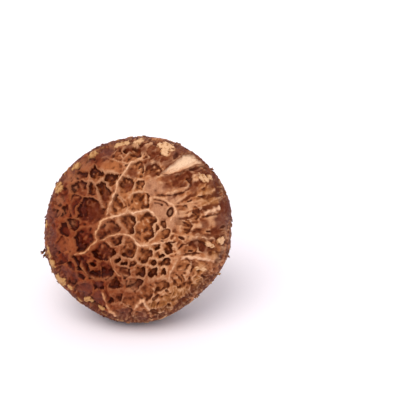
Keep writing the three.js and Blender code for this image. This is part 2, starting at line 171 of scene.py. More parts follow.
# Wrinkles: the sharp pale crests, and the cuts below nought, each with its height, its half width
# and the points that it runs through.
WRINKLES = [
    # the long loop from the left, over the middle and round the grey flat
    (0.75, 0.42, (-21.3, -8.6), (-15.9, -7.0), (-13.9, -5.1), (-12.2, -3.7), (-12.5, -1.8), (-11.0, 1.7),
     (-9.0, 3.1), (-5.0, 4.2), (-1.8, 4.9), (2.7, 5.5), (4.4, 5.4), (5.9, 4.2), (6.4, 2.6)),
    (0.5, 0.38, (-12.2, -3.7), (-10.2, -3.4), (-8.7, -2.4), (-5.1, -1.7), (-2.7, -1.9), (-0.6, -3.4),
     (0.7, -5.0), (3.6, -5.0), (9.0, -4.1), (11.6, -3.2)),
    (0.35, 0.34, (-5.4, 3.8), (-5.0, 2.2), (-4.2, 0.4), (-2.0, -1.6)),
    # the double wrinkles left of the middle
    (0.4, 0.26, (-9.3, -2.4), (-9.1, -3.7), (-8.1, -5.0), (-6.9, -5.8)),
    (0.35, 0.26, (-8.6, -2.3), (-8.3, -3.5), (-7.5, -4.5), (-6.2, -5.4)),
    (0.4, 0.26, (-8.1, -8.2), (-7.7, -10.1), (-7.1, -11.9), (-6.1, -13.6), (-4.8, -15.0)),
    (0.35, 0.26, (-7.4, -8.6), (-7.0, -10.4), (-6.3, -12.1), (-5.4, -13.5), (-3.8, -14.6), (-1.2, -14.4)),
    (0.35, 0.34, (0.6, -5.1), (0.4, -7.2), (0.2, -10.0), (1.6, -11.2)),
    # from the top down to the loop
    (0.7, 0.42, (0.2, 22.3), (-1.8, 20.6), (-3.0, 18.6), (-4.2, 16.9), (-5.9, 14.8), (-6.5, 11.9),
     (-7.4, 9.0), (-8.3, 6.9), (-8.9, 4.9), (-9.6, 3.2)),
    (0.35, 0.3, (-5.7, 24.0), (-4.4, 22.4), (-4.2, 21.0), (-2.4, 20.9)),
    (0.35, 0.3, (-1.8, 25.0), (-3.2, 23.0), (-4.1, 21.8)),
    # round the great hollow on the left
    (0.35, 0.3, (-17.4, 10.2), (-19.8, 9.8), (-20.7, 7.5), (-20.4, 5.0), (-19.0, 3.4), (-16.4, 3.0)),
    (0.3, 0.3, (-13.9, 14.8), (-12.4, 13.0), (-11.8, 10.8), (-11.2, 8.2), (-9.4, 6.2)),
    (0.3, 0.3, (-2.4, 8.8), (-1.6, 10.8), (0.2, 11.4), (2.5, 11.2), (3.2, 9.0), (3.0, 7.0)),
    (0.3, 0.3, (-5.9, 10.6), (-4.2, 8.6), (-3.2, 6.6)),
    (0.3, 0.3, (-0.3, 15.4), (-0.4, 13.2), (-1.2, 11.5), (-2.4, 8.8)),
    # the arch on the grey flat, with a groove below it that is darkened as the arch's painted shadow
    (0.42, 0.42, (3.9, 9.5), (7.6, 9.5), (10.2, 8.2), (12.3, 6.0), (12.2, 4.3), (10.8, 2.5), (10.3, 0.8)),
    (-0.45, 0.2, (5.6, 9.0), (7.8, 8.8), (9.3, 8.0), (10.1, 7.2)),
    (-0.4, 0.18, (5.8, 7.9), (7.0, 7.9), (7.9, 7.5)),
    # right side
    (0.4, 0.4, (13.9, -6.3), (13.0, -8.9), (11.8, -11.7), (10.8, -14.3), (10.5, -17.0)),
    (0.5, 0.7, (13.8, -9.9), (15.8, -8.9), (19.2, -9.1), (21.6, -9.2), (24.8, -10.8)),
    (0.45, 0.4, (17.6, -2.9), (19.4, -2.5), (21.6, -2.6), (25.2, -3.3)),
    (0.3, 0.5, (14.0, -10.4), (16.6, -10.6), (20.0, -11.6), (22.8, -13.2)),
    (0.35, 0.4, (12.9, -12.8), (15.0, -13.0), (17.4, -14.4), (19.0, -16.6)),
    (-0.6, 0.3, (16.6, -5.2), (18.6, -3.8), (20.8, -4.4), (23.4, -5.6)),
    (-0.5, 0.22, (11.0, -15.2), (12.3, -16.7), (13.5, -18.1)),
    (-0.5, 0.22, (12.2, -14.0), (13.7, -15.5), (15.0, -17.2)),
    (-0.6, 0.25, (14.8, -8.3), (17.4, -7.9), (20.3, -7.4)),
    (-0.5, 0.22, (13.1, -6.4), (14.6, -5.0), (16.8, -4.4)),
    (0.35, 0.5, (8.7, 10.8), (11.8, 11.6), (14.6, 12.4), (17.6, 14.0)),
    (0.55, 1.2, (20.6, 4.7), (23.2, 5.7), (26.2, 6.6)),
    (-0.5, 0.22, (8.6, 10.4), (12.4, 10.6), (15.0, 11.5), (16.6, 12.7)),
    (-0.6, 0.25, (15.8, 15.8), (16.8, 14.8), (17.1, 13.8), (16.3, 12.8)),
    (-0.6, 0.22, (15.6, 8.4), (16.4, 8.6), (17.3, 9.1)),
    (-0.5, 0.2, (14.0, 2.2), (15.2, 2.0), (16.3, 1.5), (16.6, 0.4)),
    (-0.5, 0.2, (17.2, 5.2), (18.4, 4.9), (19.4, 4.2)),
    (-0.6, 0.3, (20.2, 3.4), (23.0, 4.2), (26.4, 5.0)),
    # under and beside the slit: grooves darkened as painted shadow lines
    (-0.6, 0.24, (8.2, 17.0), (11.4, 17.3), (14.2, 17.9), (15.6, 18.7)),
    (-0.7, 0.34, (15.8, 18.2), (18.3, 19.0), (20.7, 19.6), (22.7, 18.6)),
    # lower rim
    (0.7, 0.55, (-10.6, -19.6), (-10.2, -21.6), (-9.6, -23.4), (-8.4, -25.4), (-5.8, -27.8)),
    (0.35, 0.32, (-18.0, -10.1), (-16.8, -12.6), (-14.7, -15.0), (-11.0, -15.6), (-7.6, -14.9)),
    (0.55, 0.6, (1.8, -21.6), (2.8, -23.6), (4.4, -25.8)),
    (0.55, 0.6, (1.6, -21.8), (0.6, -23.4), (-0.9, -25.4)),
    (0.3, 0.3, (4.4, -17.2), (6.4, -15.6), (9.2, -15.8), (10.4, -17.0)),
    (0.3, 0.3, (-8.4, -16.8), (-8.6, -19.0), (-7.2, -21.6), (-5.6, -23.4)),
    (0.3, 0.3, (-4.4, -15.2), (-4.2, -18.4), (-2.8, -19.6), (1.0, -19.2), (1.8, -21.4)),
]

# Pits: small holes, darkened with painted shade, with centre, half length, half width, turn in degrees and
# depth.
PITS = [
    (10.8, 5.1, 1.7, 1.15, 80, 0.9), (14.2, -3.0, 1.0, 0.5, -15, 0.8), (11.4, -4.2, 1.0, 0.35, 5, 0.6),
    (9.6, -19.7, 0.7, 0.4, 20, 0.7), (6.1, -21.8, 1.1, 0.5, 25, 0.7), (5.5, -26.2, 1.2, 0.7, 0, 0.6),
    (-8.1, -22.6, 1.0, 0.5, 80, 0.6), (12.3, 22.9, 1.2, 0.7, 60, 0.6), (19.9, 10.2, 0.8, 0.25, 10, 0.5),
    (7.9, 7.5, 0.4, 0.3, 0, 0.5), (17.1, -7.0, 0.5, 0.3, 0, 0.6), (7.8, -8.6, 0.6, 0.4, 0, 0.5),
    (9.3, -10.1, 0.5, 0.4, 0, 0.5), (1.2, 19.6, 0.8, 0.4, 30, 0.5), (26.6, 0.6, 0.7, 0.4, 70, 0.5),
    (-24.8, -7.6, 0.6, 0.4, 60, 0.5), (-24.0, 4.6, 0.6, 0.5, 0, 0.5), (-26.8, 6.4, 0.7, 0.4, 70, 0.5),
    (8.2, -3.9, 0.5, 0.3, 0, 0.4), (22.6, -0.6, 0.8, 0.4, 10, 0.6), (21.2, -15.2, 0.8, 0.4, -40, 0.5),
]

# Flecks: shreds of the pale veil that first covered the cap, placed and turned as the pits are.
FLECKS = [
    (9.2, 25.9, 2.6, 1.3, -15), (8.9, 24.3, 1.6, 0.9, -55), (0.4, 27.8, 2.0, 0.9, 35),
    (-5.0, 27.2, 2.6, 0.8, 15), (-14.2, 24.3, 1.5, 0.8, 30), (-19.5, 20.3, 1.5, 0.8, 40),
    (-24.9, 13.2, 1.7, 1.0, 65), (-26.6, -10.9, 1.8, 0.6, -70), (-24.3, -16.3, 1.9, 1.2, -50),
    (-21.2, -18.4, 1.0, 0.5, -45), (-15.6, -22.4, 1.6, 0.8, -25), (-11.3, -25.2, 1.1, 0.5, -20),
    (20.9, 15.9, 2.1, 1.2, -10), (26.5, -3.6, 1.2, 1.0, 30), (23.0, -5.0, 1.8, 0.6, -30),
    (20.3, -12.5, 1.8, 0.6, -5), (-27.8, -7.6, 2.0, 0.4, -75),
]

# Patches of colour on the skin, with centre and radius.
PATCHES = {
    "orange": [
        (10.8, 5.2, 0.9), (-19.8, 15.4, 2.6), (-22.0, -5.2, 3.0), (-12.4, 3.4, 1.4), (-10.0, 20.3, 1.8),
        (-7.4, 19.6, 2.2),
    ],
    "purple": [
        (-28.0, -2.0, 3.0), (-27.0, -6.0, 2.6), (-28.0, 4.0, 2.4), (-22.2, -13.6, 2.4),
        (-19.5, -15.0, 1.6), (-15.9, -18.8, 2.6), (-12.0, -21.6, 2.2), (-12.1, -17.8, 1.2),
        (27.4, 2.6, 2.8), (-9.5, 24.3, 2.2), (12.4, 23.2, 1.4), (-20.5, 19.0, 1.4), (-4.0, -26.4, 2.0),
        (2.0, -27.6, 2.0),
    ],
    "ochre": [
        (13.4, -20.8, 4.0), (9.7, -23.8, 3.2), (20.3, -12.5, 2.4), (22.6, 10.0, 4.2),
        (20.0, -17.4, 3.0), (-17.6, 18.0, 2.2), (-20.6, 10.4, 1.4), (25.6, 13.2, 2.6),
        (24.6, -7.6, 2.2), (5.0, -24.0, 2.0),
    ],
    "red": [
        (9.4, 15.6, 1.6), (11.6, 16.0, 1.8), (13.8, 16.6, 1.9), (16.2, 17.4, 1.8), (18.8, 18.2, 1.6),
        (12.6, 13.6, 1.6), (14.6, 14.2, 1.8), (3.6, 20.6, 1.8), (6.0, 21.6, 1.8), (13.0, 24.6, 1.4),
        (18.6, -4.4, 2.0), (26.0, 2.6, 2.4), (25.4, -1.0, 1.8), (-1.2, 17.6, 2.0), (9.0, 21.6, 2.2),
        (11.6, 23.6, 1.8), (5.0, 24.0, 2.2), (1.6, 25.0, 1.8), (-2.6, 26.0, 1.8), (20.6, 16.6, 2.0),
        (23.4, 14.0, 1.6), (27.0, 6.0, 2.0), (-12.6, 23.4, 1.8), (24.8, 16.6, 2.0), (22.8, 19.2, 1.8),
        (14.6, 25.2, 2.0), (27.8, 8.2, 2.2), (20.6, 22.0, 1.6), (18.4, 23.8, 1.2), (9.7, 20.6, 2.2),
        (9.7, 13.2, 1.8), (17.3, 13.0, 2.0), (-9.4, 9.4, 1.6), (-13.2, 5.4, 3.2), (21.1, 1.6, 1.8),
        (21.1, -6.0, 1.8), (-2.4, 13.2, 1.8), (5.4, 17.2, 1.4),
    ],
    "tan": [
        (-17.0, 20.6, 2.4), (-20.8, 16.8, 2.6), (-20.8, 13.0, 1.8), (-24.6, 9.2, 1.8),
        (-24.6, 5.4, 2.0), (-20.8, 1.6, 1.6), (-9.4, 1.6, 1.5), (-5.6, 1.6, 1.2), (-1.7, -17.5, 1.8),
        (13.5, 1.6, 1.8), (-13.2, 24.4, 1.6),
    ],
    "grey": [
        (7.6, 5.4, 3.8), (5.0, 12.8, 3.0), (8.4, 12.6, 2.2), (11.6, 9.0, 2.6), (10.4, 1.4, 2.4),
        (13.2, 3.4, 2.4),
    ],
}
# the flats, where the finer wrinkles fade as they do on the grey patches
SMOOTH_PATCHES = [
    (-10.0, 20.3, 1.8), (-7.4, 19.6, 2.2), (-22.0, -5.2, 2.4), (-15.9, -18.8, 1.8),
]

# The slit where the skin has torn and shows the flesh: its corners, from the narrow end, its depth
# and the place from which the flesh gets paler upwards.
SLIT = [(7.4, 17.1), (11.1, 20.2), (14.9, 23.1), (17.6, 23.7), (19.9, 21.7), (21.0, 20.7), (18.6, 20.4),
        (16.4, 19.4), (13.3, 17.9), (10.3, 17.1)]
SLIT_DEPTH = 0.7
FLESH_FROM = (7.4, 17.0)

# What grows between the hollows. The pattern is pushed about by lumps, each kind with its amount,
# its size and its seed. A rise is how far a kind of wrinkle stands out.
PUSHES = [(0.55, 3.2, 40), (0.24, 1.3, 70)]
NET_CELL = 2.2
NET_RISE = 0.3
SHARP_RISE = 0.6
BUMP_RISE = 0.17
FOLD_SLANT = math.radians(32)
FOLD_LENGTH = 7.0
FOLD_WIDTH = 1.7
FOLD_RISE = 0.6
RIM_FOLD_RISE = 0.16
SWELL_RISE = 0.5
CRACK_DEPTH = 0.35
# the knob of flesh in the largest pit, placed and turned as the pits are
KNOB = (10.8, 5.1, 1.05, 0.65, 80)
KNOB_RISE = 0.9


def smooth(edge0, edge1, value):
    share = np.clip((value - edge0) / (edge1 - edge0), 0, 1)
    return share * share * (3 - 2 * share)


def curve_between(a, b, c, d, t):
    """A smooth curve from b to c, with a before and d after them."""
    return b + 0.5 * t * (c - a + t * (2 * a - 5 * b + 4 * c - d + t * (3 * (b - c) + d - a)))


def to_outline(x, y):
    """Widens or narrows a circle to the cap's uneven rim, and less so further in."""
    radii = np.array(RIM_RADII)
    place = (np.arctan2(y, x) / math.tau) % 1 * radii.size
    index = np.floor(place).astype(int)
    around = [radii[(index + step) % radii.size] for step in (-1, 0, 1, 2)]
    wider = curve_between(*around, place - index) / CAP_RADIUS
    share = 1 + (wider - 1) * np.minimum(1, np.hypot(x, y) / CAP_RADIUS) ** 2
    return x * share, y * share


def find_place():
    """Where the lip's centre lies in the frame, from the box of the gills."""
    low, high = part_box("gills")
    right = to_outline(GILL_OUTER_RADIUS, 0.0)[0]
    front = to_outline(0.0, -GILL_OUTER_RADIUS)[1]
    back = to_outline(0.0, GILL_OUTER_RADIUS)[1]
    sin, cos = math.sin(REST_TILT), math.cos(REST_TILT)
    return np.array([
        high.x / MM - right,
        low.y / MM - (front * sin - GILL_TOP * cos),
        high.z / MM - (back * cos + GILL_TOP * sin),
    ])


PLACE = find_place()


def laid_down(points):
    """Upright points in millimetres, laid down in the frame in metres, none below the table."""
    x, y, z = np.asarray(points, float).T
    sin, cos = math.sin(REST_TILT), math.cos(REST_TILT)
    lying = np.stack([x, y * sin - z * cos, y * cos + z * sin], axis=1) + PLACE
    lying[:, 2] = np.maximum(lying[:, 2], 0)
    return lying * MM


def read_shape(shape):
    """A shape's points, and the two ends of each edge."""
    points = np.array([vert.co for vert in shape.verts])
    shape.verts.index_update()
    ends = np.array([(edge.verts[0].index, edge.verts[1].index) for edge in shape.edges])
    return points, ends


def place_points(shape, points):
    for vert, point in zip(shape.verts, points):
        vert.co = point


def lumpy(points, size, octaves=2, seed=0):
    """Soft random heights from -1 to 1, with lumps of about that size. Each seed gives others."""
    scaled = (np.asarray(points, float) + seed) / size
    return np.array([noise.fractal(Vector(point), 0.8, 2.1, octaves) for point in scaled])


def eased(values, ends, rounds):
    """The values, each drawn towards its neighbours' mean as many times as told."""
    a, b = ends.T
    count = np.bincount(a, minlength=values.size) + np.bincount(b, minlength=values.size)
    for _ in range(rounds):
        total = np.bincount(a, values[b], values.size) + np.bincount(b, values[a], values.size)
        values = 0.4 * values + 0.6 * total / count
    return values


def blots(u, v, spots, ragged):
    """1 inside the spots given by centre, half length, half width and turn, and 0 outside."""
    inside = np.zeros(u.size)
    for x, y, length, width, degrees in spots:
        cos, sin = math.cos(math.radians(degrees)), math.sin(math.radians(degrees))
        a, b = (u - x) * cos + (v - y) * sin, (v - y) * cos - (u - x) * sin
        inside = np.maximum(inside, smooth(1.2, 0.75, np.hypot(a / length, b / width) + ragged))
    return inside


def patches_at(u, v, patches, fuzz):
    """1 inside the round patches given by centre and radius, and 0 outside."""
    inside = np.zeros(u.size)
    for x, y, size in patches:
        inside = np.maximum(inside, smooth(1.25, 0.45, np.hypot(u - x, v - y) / size + fuzz))
    return inside


def line_distance(u, v, points):
    """Distance from each point to a smooth curve through the points given, and the share along."""
    knots = np.array([points[0], *points, points[-1]], float)
    steps = np.arange(5) / 5
    path = [curve_between(*knots[i:i + 4], t) for i in range(len(points) - 1) for t in steps]
    path = np.array([*path, knots[-1]])
    near, share = np.full(u.size, np.inf), np.zeros(u.size)
    lengths = np.hypot(*np.diff(path, axis=0).T)
    before = np.concatenate([[0], np.cumsum(lengths)])
    for start, end, length, so_far in zip(path, path[1:], lengths, before):
        du, dv = (end - start) / length
        along = np.clip((u - start[0]) * du + (v - start[1]) * dv, 0, length)
        distance = np.hypot(u - start[0] - along * du, v - start[1] - along * dv)
        closer = distance < near
        near[closer] = distance[closer]
        share[closer] = ((so_far + along) / before[-1])[closer]
    return near, share


def inside_outline(u, v, corners):
    """How far inside an outline each point lies, and below nought outside it."""
    near, inside = np.full(u.size, np.inf), np.zeros(u.size, bool)
    for (x0, y0), (x1, y1) in zip(corners, corners[1:] + corners[:1]):
        length = math.hypot(x1 - x0, y1 - y0)
        du, dv = (x1 - x0) / length, (y1 - y0) / length
        along = np.clip((u - x0) * du + (v - y0) * dv, 0, length)
        near = np.minimum(near, np.hypot(u - x0 - along * du, v - y0 - along * dv))
        inside ^= ((y0 > v) != (y1 > v)) & (u < x0 + (x1 - x0) * (v - y0) / (y1 - y0))
    return np.where(inside, near, -near)


def cells(u, v):
    """For each point, the depth of the hollow that it belongs to, how far inside it lies, and where
    it lies across the hollow, from -1 on the side of the crown to 1 on the side of the rim."""
    rows = [(*lobe, deep, group) for group, (deep, *lobes) in enumerate(HOLLOWS) for lobe in lobes]
    x, y, size, depth, group = np.array(rows).T
    middles = np.array([
        np.average(lobes, axis=0, weights=[lobe[2] for lobe in lobes]) for _, *lobes in HOLLOWS
    ])
    power = (u[:, None] - x) ** 2 + (v[:, None] - y) ** 2 - size**2
    own = power.argmin(axis=1)
    same = group[own][:, None] == group
    apart = np.hypot(x[own][:, None] - x, y[own][:, None] - y)
    border = (power - power[np.arange(u.size), own][:, None]) / np.maximum(2 * apart, 0.8)
    border[same] = np.inf
    spread = (HOLLOW_SPREAD + 0.45 * smooth(-3, -12, x)) * size - np.hypot(u[:, None] - x, v[:, None] - y)
    spread[~same] = -np.inf
    middle_x, middle_y, _ = middles[group[own].astype(int)].T
    out_x, out_y = middle_x - STEEP_FROM[0], middle_y - STEEP_FROM[1]
    across = ((u - middle_x) * out_x + (v - middle_y) * out_y) / np.maximum(np.hypot(out_x, out_y), 4)
    edges = np.concatenate([border, spread.max(axis=1)[:, None]], axis=1)
    inside = -CORNER_ROUNDING * np.log(np.exp(-np.clip(edges, -4, 9) / CORNER_ROUNDING).sum(axis=1))
    return depth[own], inside, across / (1.3 * size[own])


def cap_profile():
    """Radius and height along the surface, from the crown over the rim to the gills, with the
    distance from the crown, and the distance at which the margin starts."""
    turn = np.linspace(0, math.pi / 2, 900)
    radius = CAP_RADIUS * np.sin(turn) ** (2 / DOME_POWER)
    height = WIDEST_HEIGHT + (CROWN_HEIGHT - WIDEST_HEIGHT) * np.cos(turn) ** (2 / DOME_POWER)
    curl = np.linspace(0, MARGIN_CURL, 500)[1:]
    margin_radius = CAP_RADIUS - MARGIN_HALF_WIDTH * (1 - np.cos(curl))
    radius = np.concatenate([radius, margin_radius, [SOCKET_RADIUS]])
    height = np.concatenate([height, WIDEST_HEIGHT * (1 - np.sin(curl)), [FLESH_HEIGHT]])
    along = np.concatenate([[0], np.cumsum(np.hypot(np.diff(radius), np.diff(height)))])
    return radius, height, along, along[turn.size - 1]


PROFILE_RADIUS, PROFILE_HEIGHT, PROFILE_ALONG, RIM_ALONG = cap_profile()


def profile_at(along):
    """Radius and height at a distance from the crown, and how fast each changes with it."""
    steps = [np.gradient(values, PROFILE_ALONG) for values in (PROFILE_RADIUS, PROFILE_HEIGHT)]
    return [np.interp(along, PROFILE_ALONG, values) for values in (PROFILE_RADIUS, PROFILE_HEIGHT, *steps)]


def lay_out_skin():
    """The cap's surface as a flat round sheet, each point at its true distance from the crown: a
    square grid drawn out to a disc, with rings added for the margin, and the last one closed."""
    shape = bmesh.new()
    bmesh.ops.create_grid(shape, x_segments=DOME_CELLS, y_segments=DOME_CELLS, size=1)
    for vert in shape.verts:
        x, y, _ = vert.co
        reach = max(abs(x), abs(y))
        if reach < 1e-6:
            continue
        if abs(x) >= abs(y):
            turn = math.pi / 4 * y / x + (math.pi if x < 0 else 0)
        else:
            turn = math.pi / 2 - math.pi / 4 * x / y + (math.pi if y < 0 else 0)
        distance = (0.9 * reach + 0.1 * reach**4) * RIM_ALONG
        vert.co = Vector((math.cos(turn), math.sin(turn), 0)) * distance
    edge = [e for e in shape.edges if e.is_boundary]
    distance = RIM_ALONG
    step = (PROFILE_ALONG[-1] - RIM_ALONG) / MARGIN_RINGS
    for _ in range(MARGIN_RINGS):
        grown = bmesh.ops.extrude_edge_only(shape, edges=edge)["geom"]
        verts = [g for g in grown if isinstance(g, bmesh.types.BMVert)]
        edge = [g for g in grown if isinstance(g, bmesh.types.BMEdge) and g.is_boundary]
        bmesh.ops.scale(shape, vec=((distance + step) / distance,) * 3, verts=verts)
        distance += step
    bmesh.ops.holes_fill(shape, edges=edge, sides=0)
    return shape


def round_rim(turn, size, third):
    """Points for noise that runs round the cap or stem without a seam, on a circle of that size."""
    return np.stack([np.cos(turn) * size, np.sin(turn) * size, third], axis=1)


def border_gap(points):
    """In a random net with cells about 1 across, how far each point lies from the nearest border."""
    nearest = np.array([noise.voronoi(Vector(point))[0][:2] for point in points])
    return nearest[:, 1] - nearest[:, 0]


def shape_cap():
    shape = lay_out_skin()
    flat, ends = read_shape(shape)
    along, turn = np.hypot(flat[:, 0], flat[:, 1]), np.arctan2(flat[:, 1], flat[:, 0])
    radius, height, radius_step, height_step = profile_at(along)
    on_dome = along <= RIM_ALONG + 1e-4
    u, v = radius * np.cos(turn), radius * np.sin(turn)
    skin = np.stack([u, v, height], axis=1)
    beyond = np.maximum(0, along - RIM_ALONG)
    reach = np.where(on_dome, radius, CAP_RADIUS)
    face = smooth(29.4, 27.2, radius) * on_dome

    # nothing grown runs straight: the pattern is pushed about, in large lumps and small ones
    push_u, push_v = (
        sum(amount * lumpy(skin, size, seed=side * seed) for amount, size, seed in PUSHES)
        for side in (1, -1)
    )
    pu, pv = u + push_u, v + push_v

    # the hollows, with steep outer walls, dished and wrinkled floors, and ridges that sag in places
    parts = [cells(*part) for part in zip(np.array_split(pu, 12), np.array_split(pv, 12))]
    depth, inside, across = np.concatenate(parts, axis=1)
    depth = depth * face
    ridge_half = 0.2 * lumpy(skin, 2.4, seed=11) - 0.1 - 0.12 * smooth(-3, -12, u)
    steep = smooth(-0.5, 0.6, across)
    sunk = smooth(ridge_half, ridge_half + 1.5 - 1.2 * steep, inside)
    sag = 0.75 * smooth(-0.25, 0.45, lumpy(skin, 4.2, seed=64)) * smooth(12, 2, u)
    sunk = np.maximum(sunk, sag * smooth(-0.6, 0.4, inside))
    least = 0.5 - 0.4 * smooth(6, 15, u + 0.3 * v)
    hollow = sunk * depth * (least + (1 - least) * smooth(-0.9, 0.7, across))
    floors = 0.55 * lumpy(skin, 2.2, seed=3) + 0.16 * (1 - 3 * np.abs(lumpy(skin, 2.4, seed=8)))
    relief = -HOLLOW_DEPTH * hollow
    relief += sunk * depth * floors
    # the wall mark is painted shade: dark along the steep outer wall of each hollow, as if shaded by the
    # skin that overhangs it
    wall_shade = smooth(ridge_half - 0.1, ridge_half + 0.15, inside)
    wall_shade *= smooth(ridge_half + 0.7, ridge_half + 0.2, inside)
    wall_shade *= smooth(0.15, 0.6, depth) * steep

    # a finer net of wrinkles and bumps over the skin between the hollows, less so on the smooth flats
    plateau = patches_at(u, v, PATCHES["grey"] + SMOOTH_PATCHES, 0) * on_dome
    net = 1 - smooth(0.0, 0.35, border_gap(np.stack([pu, pv, 0.6 * height], axis=1) / NET_CELL))
    rough_skin = smooth(-0.15, 0.35, lumpy(skin, 4.5, seed=-17)) * face
    right = smooth(11, 17, u + 0.25 * v) * smooth(-15, -9, v)
    flat_skin = 1 - 0.6 * sunk * depth
    flat_skin *= (1 - 0.8 * plateau) * (1 - 0.6 * right)
    sharp_skin = 1 - 2 * np.abs(lumpy(skin * (1, 1, 0.6), 3.4, seed=-33))
    between = smooth(0.3, -0.7, inside)
    relief += (NET_RISE * net - 0.1) * (0.25 + 0.75 * between) * flat_skin * face
    relief += SHARP_RISE * (sharp_skin - 0.5) * (0.45 + 0.55 * rough_skin) * flat_skin * face
    relief += BUMP_RISE * lumpy(skin, 0.9, seed=5) * (0.4 + 0.6 * rough_skin) * flat_skin

    # long folds: slanting at the top, a fan on the right and running out to the rim elsewhere
    slanting = np.stack([
        (pu * math.cos(FOLD_SLANT) + pv * math.sin(FOLD_SLANT)) / FOLD_LENGTH,
        (pv * math.cos(FOLD_SLANT) - pu * math.sin(FOLD_SLANT)) / FOLD_WIDTH,
        height * 0.2,
    ], axis=1)
    fan_u, fan_v = u + 0.6 * push_u - FAN_FROM[0], v + 0.6 * push_v - FAN_FROM[1]
    fan = round_rim(np.arctan2(fan_v, fan_u), 6.5, np.hypot(fan_u, fan_v) / 6.0)
    fanned = 1.1 * lumpy(fan, 1) + 0.3 * (0.4 - 2 * np.abs(lumpy(fan, 1, seed=50)))
    fanned += 0.3 * lumpy(fan * (2.6, 2.6, 1.4), 1)
    upper = smooth(9, 15, v)
    top = smooth(-3, 2, u) * smooth(15.5, 18.5, v)
    outer = smooth(24.5, 28.5, reach)
    folds = upper * lumpy(slanting, 1, 3) + (1 - upper) * fanned
    fold_share = np.clip(np.maximum(right, top), 0, 1) * face * (1 - 0.6 * sunk * depth)
    rim_folds = lumpy(round_rim(turn + 0.03 * push_u, 38, along / 3.6), 1, 3)
    streaks = folds * fold_share + rim_folds * outer * (1 - 0.75 * smooth(0, 3, beyond))
    relief += FOLD_RISE * folds * fold_share + RIM_FOLD_RISE * rim_folds * outer
    relief += SWELL_RISE * lumpy(skin, 3.5, seed=99) * face

    # crests and cuts; the cuts and pits are darkened with painted shade
    crest, band, cut = np.zeros(u.size), np.zeros(u.size), np.zeros(u.size)
    broken = 0.75 + 0.45 * lumpy(skin, 1.5, seed=19)
    wu = u + 0.6 * push_u + 0.16 * lumpy(skin, 0.9, seed=27)
    wv = v + 0.6 * push_v + 0.16 * lumpy(skin, 0.9, seed=-27)
    for rise, half_width, *points in WRINKLES:
        distance, share = line_distance(wu, wv, points)
        taper = np.minimum(1, 7 * np.minimum(share, 1 - share) + 0.2) * on_dome
        if rise > 0:
            width = half_width * (0.35 + 0.75 * broken**2)
            brightness = min(1, 2.6 * rise - 0.42)
            shoulder = np.exp(-((distance / 0.8) ** 2)) * taper
            sharp = np.exp(-distance / (1.7 * half_width)) * taper
            crest = np.maximum(crest, np.exp(-((distance / width) ** 2)) * taper * broken * brightness)
            band = np.maximum(band, shoulder * brightness)
            relief += rise * sharp * (0.5 + 0.6 * broken) - 0.75 * shoulder * np.minimum(relief, 0)
        else:
            mark = np.exp(-((distance / (1.5 * half_width)) ** 2)) * taper
            cut = np.maximum(cut, min(1, -1.35 * rise) * mark)
            relief += 0.7 * rise * mark
    for *spot, pit_depth in PITS:
        pit = blots(pu, pv, [spot], 0) * on_dome
        cut = np.maximum(cut, 0.85 * pit)
        relief -= 0.7 * pit_depth * pit
    relief += KNOB_RISE * blots(pu, pv, [KNOB], 0) * on_dome

    # the torn slit
    torn_distance = inside_outline(wu, wv, SLIT)
    torn = smooth(-0.15, 0.3, torn_distance) * on_dome
    torn_edge = np.exp(-(((torn_distance + 0.25) / 0.32) ** 2)) * on_dome
    lip = np.exp(-(((torn_distance + 0.5) / 0.4) ** 2)) * on_dome
    fibres = lumpy(slanting * (0.6, 1.6, 1), 1)
    relief = relief * (1 - torn) + torn * (0.08 * fibres - SLIT_DEPTH) + 0.2 * lip
    above = (v - FLESH_FROM[1]) - 0.3 * (u - FLESH_FROM[0])
    flesh = smooth(-0.8, 1.6, above + 1.1 * fibres)

    # shreds of veil, ragged and a little raised, and thicker round the rim
    ragged = 0.6 * lumpy(skin, 1.1, 4, seed=31)
    veil = blots(u, v, FLECKS, ragged) * on_dome
    belt_lumps = lumpy(round_rim(turn, 9, along / 2.2), 1, 4, seed=90)
    belt = smooth(28.3, 29.5, radius) * smooth(4, 1.5, beyond) * (1 - 0.9 * smooth(8, 16, u + 0.3 * v))
    veil = np.maximum(veil, smooth(0.46, 0.54, belt_lumps) * belt * (1 - torn))
    relief = relief * (1 - 0.7 * veil) + veil * (0.25 + 0.1 * ragged)
    veil_light = smooth(0.3, 0.8, veil) * smooth(-0.65, 0.0, lumpy(skin * (1.6, 1, 1), 1.3, 3, seed=36))

    # the rolled margin: fine fibres that run in to the lip, cracks that show the flesh, a frayed lip
    under = smooth(0, 3, beyond)
    fibre_turn = turn + 0.02 * lumpy(skin, 3, seed=61)
    fibrils = lumpy(round_rim(fibre_turn, 70, along / 4.0), 1, 3)
    leather = lumpy(round_rim(turn, 9, along / 3.4), 1, 3, seed=44)
    relief = relief * (1 - 0.75 * under) + (0.05 * fibrils + 0.35 * leather) * under
    crack_points = round_rim(turn, 9, along / 3.4) + 0.2 * np.stack([push_u, push_v, 0 * u], axis=1)
    crack = 1 - smooth(0.02, 0.14, border_gap(crack_points))
    crack *= smooth(26.5, 28.5, reach) * smooth(11, 6, beyond)
    crack *= smooth(-0.2, 0.3, lumpy(skin, 5, seed=77))
    relief -= CRACK_DEPTH * crack
    relief += 0.3 * smooth(8, 13, beyond) * lumpy(skin, 1.4, 3, seed=13)
    frayed = lumpy(round_rim(turn, 9, 0 * turn), 1, 5, seed=60)
    to_lip = PROFILE_ALONG[-1] - along
    inward = smooth(11, 15.5, beyond) * (0.5 + 1.3 * frayed) * smooth(0.6, 2.6, to_lip)

    # the hollow at the gills stays as it is, and the relief follows the surface's normal
    relief *= smooth(1.5, 4, to_lip)
    x, y = to_outline(u - inward * np.cos(turn), v - inward * np.sin(turn))
    upright = np.stack([
        x - height_step * np.cos(turn) * relief,
        y - height_step * np.sin(turn) * relief,
        height + radius_step * relief,
    ], axis=1)
    place_points(shape, laid_down(upright))
